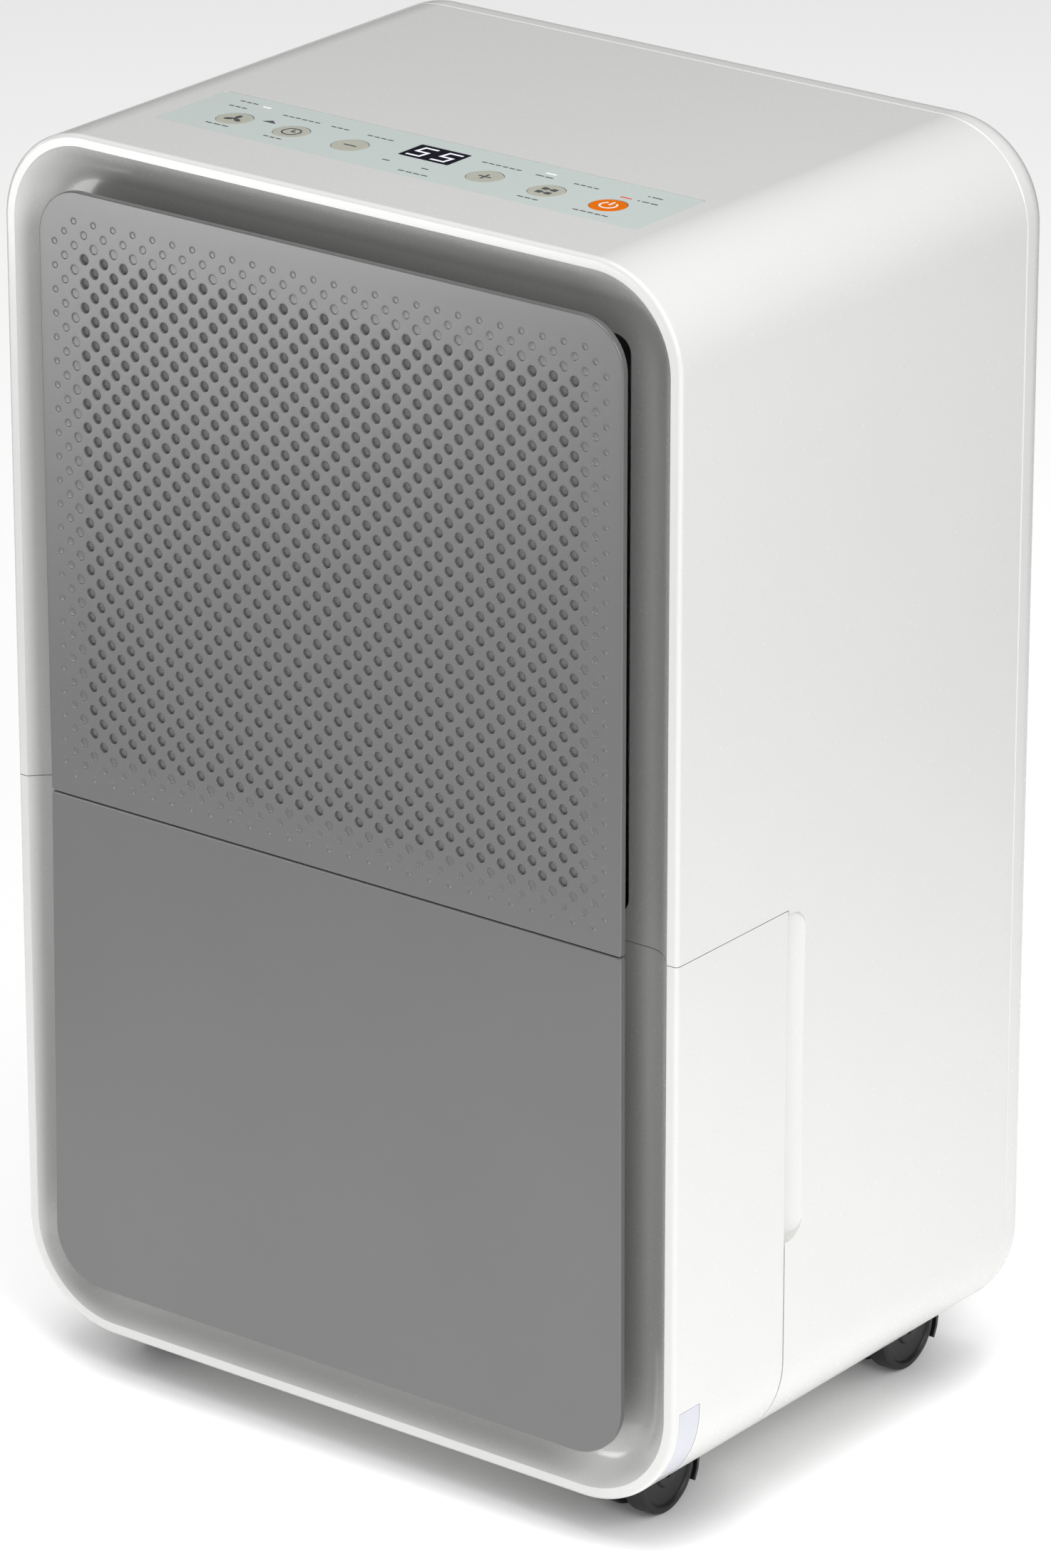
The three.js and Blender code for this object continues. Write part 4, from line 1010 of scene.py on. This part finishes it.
def casters():
    for end, d in zip(("front", "rear"), CASTER_D):
        for hand, side in (("left", -1), ("right", 1)):
            for inner in (True, False):
                caster_wheel(f"{end}_{hand}", side, d, inner)


# ------------------------------------------------------------------ pieces kept from the CAD


def refined(node, body, look, width=0.35):
    """A copy of a CAD node with its sharp edges rounded, in that node's place."""
    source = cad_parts[node]
    mesh = source.data.copy()
    obj = bpy.data.objects.new(node, mesh)
    bpy.context.scene.collection.objects.link(obj)
    mesh.transform(source.matrix_world)
    back = Matrix.Translation((0, -FRONT / MM, (BODY_H * MM - TOP) / MM))
    mesh.transform(back @ Matrix.Diagonal((1 / MM, 1 / MM, 1 / MM, 1)))
    weld(obj, 0.01)
    work = bmesh.new()
    work.from_mesh(mesh)
    bmesh.ops.dissolve_limit(work, angle_limit=math.radians(1), verts=work.verts,
                             edges=work.edges)
    work.to_mesh(mesh)
    work.free()
    if width:
        soften(obj, width)
    return finish(obj, f"{node}_shown", body, look, [node])


INNER = {
    "casing": {
        "inner": ["chassis_frame", "fan_shroud", "motor_bracket", "humidity_sensor",
                  "drain_spout"],
        "black": ["drip_tray", "tank_switch", "cord_inlet"],
        "fin": ["evaporator_coil", "condenser_coil"],
        "painted": ["compressor"],
        "rubber": ["compressor_mat"],
        "copper": ["suction_pipe", "discharge_pipe", "capillary_tube"],
        "steel": ["fan_motor", "run_capacitor"],
        "board": ["power_board", "control_board"],
    },
    # the filter frame's dark look is painted shade for the slit beside the panel
    "intake_panel": {"dark": ["filter_frame"], "net": ["filter_mesh"]},
    "tank": {"tank": ["tank_bucket"], "inner": ["tank_lid"]},
    "tank_float_lever": {"foam": ["tank_float"]},
    "fan": {"inner": ["fan_impeller"]},
    "drain_plug": {"rubber": ["drain_cap"]},
}
for end in ("front", "rear"):
    for hand in ("left", "right"):
        INNER[f"caster_{end}_{hand}"] = {"black": [f"caster_hood_{end}_{hand}"],
                                         "steel": [f"caster_axle_{end}_{hand}"]}


def inner_parts():
    """Every node of INNER with its look's material; the filter frame's dark look, painted shade, is an
    inner one.
    """
    for body, looks in INNER.items():
        for look, nodes in looks.items():
            for node in nodes:
                refined(node, body, LOOKS[look])


# ------------------------------------------------------------------ studio

CAMERA_TURN = math.radians(37.556)
CAMERA_RISE = math.radians(21.709)
CAMERA_PLACE = (1.9307, -2.5086, 1.5225)
FLOOR_REACH = 12.0
MIDDLE = (0, 0, 0.3)
LIGHTS = {  # place, target, size, power
    "key_light": ((1.9, -0.95, 1.5), (0, 0, 0.4), (1.0, 1.2), 34),
    "top_light": ((0.4, -0.6, 3.2), MIDDLE, (2.0, 2.0), 60),
    "left_light": ((-1.9, -0.9, 0.7), MIDDLE, (0.3, 0.5), 4.5),
    "low_light": ((-1.0, -1.3, 0.2), (-0.1, -0.1, 0.5), (0.5, 0.35), 4.5),
}


def studio_floor():
    """A wide pale floor, open on every side so that no view is blocked."""
    points = [(FLOOR_REACH * a, FLOOR_REACH * b, 0)
              for a, b in ((-1, -1), (1, -1), (1, 1), (-1, 1))]
    mesh = bpy.data.meshes.new("studio_floor")
    mesh.from_pydata(points, [], [(0, 1, 2, 3)])
    floor = bpy.data.objects.new("studio_floor", mesh)
    bpy.context.scene.collection.objects.link(floor)
    floor.matrix_world = Matrix.Rotation(CAMERA_TURN, 4, "Z")
    # the floor's material glows with painted light and paints shadow under the machine
    mesh.materials.append(painted_light_paper("studio_paper"))


def aim(obj, where, back):
    """Puts an object somewhere with its local -Z looking away from back."""
    back = Vector(back).normalized()
    side = Vector((0, 0, 1)).cross(back).normalized()
    turn = Matrix((side, back.cross(side), back)).transposed().to_4x4()
    obj.matrix_world = Matrix.Translation(where) @ turn


def camera():
    data = bpy.data.cameras.new("camera")
    data.lens, data.sensor_width = 189.0, 36.0
    data.clip_start, data.clip_end = 0.05, 50
    obj = bpy.data.objects.new("camera", data)
    bpy.context.scene.collection.objects.link(obj)
    back = (math.sin(CAMERA_TURN) * math.cos(CAMERA_RISE),
            -math.cos(CAMERA_TURN) * math.cos(CAMERA_RISE), math.sin(CAMERA_RISE))
    aim(obj, CAMERA_PLACE, back)
    bpy.context.scene.camera = obj


def softbox(name, where, target, size, power):
    data = bpy.data.lights.new(name, "AREA")
    data.shape, data.size, data.size_y = "RECTANGLE", *size
    data.energy = power
    obj = bpy.data.objects.new(name, data)
    bpy.context.scene.collection.objects.link(obj)
    aim(obj, where, Vector(where) - Vector(target))


def studio():
    world = bpy.data.worlds.new("studio")
    bpy.context.scene.world = world
    world.use_nodes = True
    constants(world.node_tree.nodes["Background"], {"Color": WHITE_LIGHT, "Strength": 0.1})
    for name, settings in LIGHTS.items():
        softbox(name, *settings)
    bpy.context.scene.view_settings.view_transform = "Standard"
    bpy.context.scene.view_settings.look = "None"


# ------------------------------------------------------------------ the machine

camera()
studio_floor()
studio()
main_housing()
intake_bezel()
rear_cover()
rear_grille()
base_pan()
front_grille()
tank_panel()
tank_cover()
corner_strips()
control_overlay()
display_lens()
key_caps()
key_icons()
label_prints()
casters()
inner_parts()
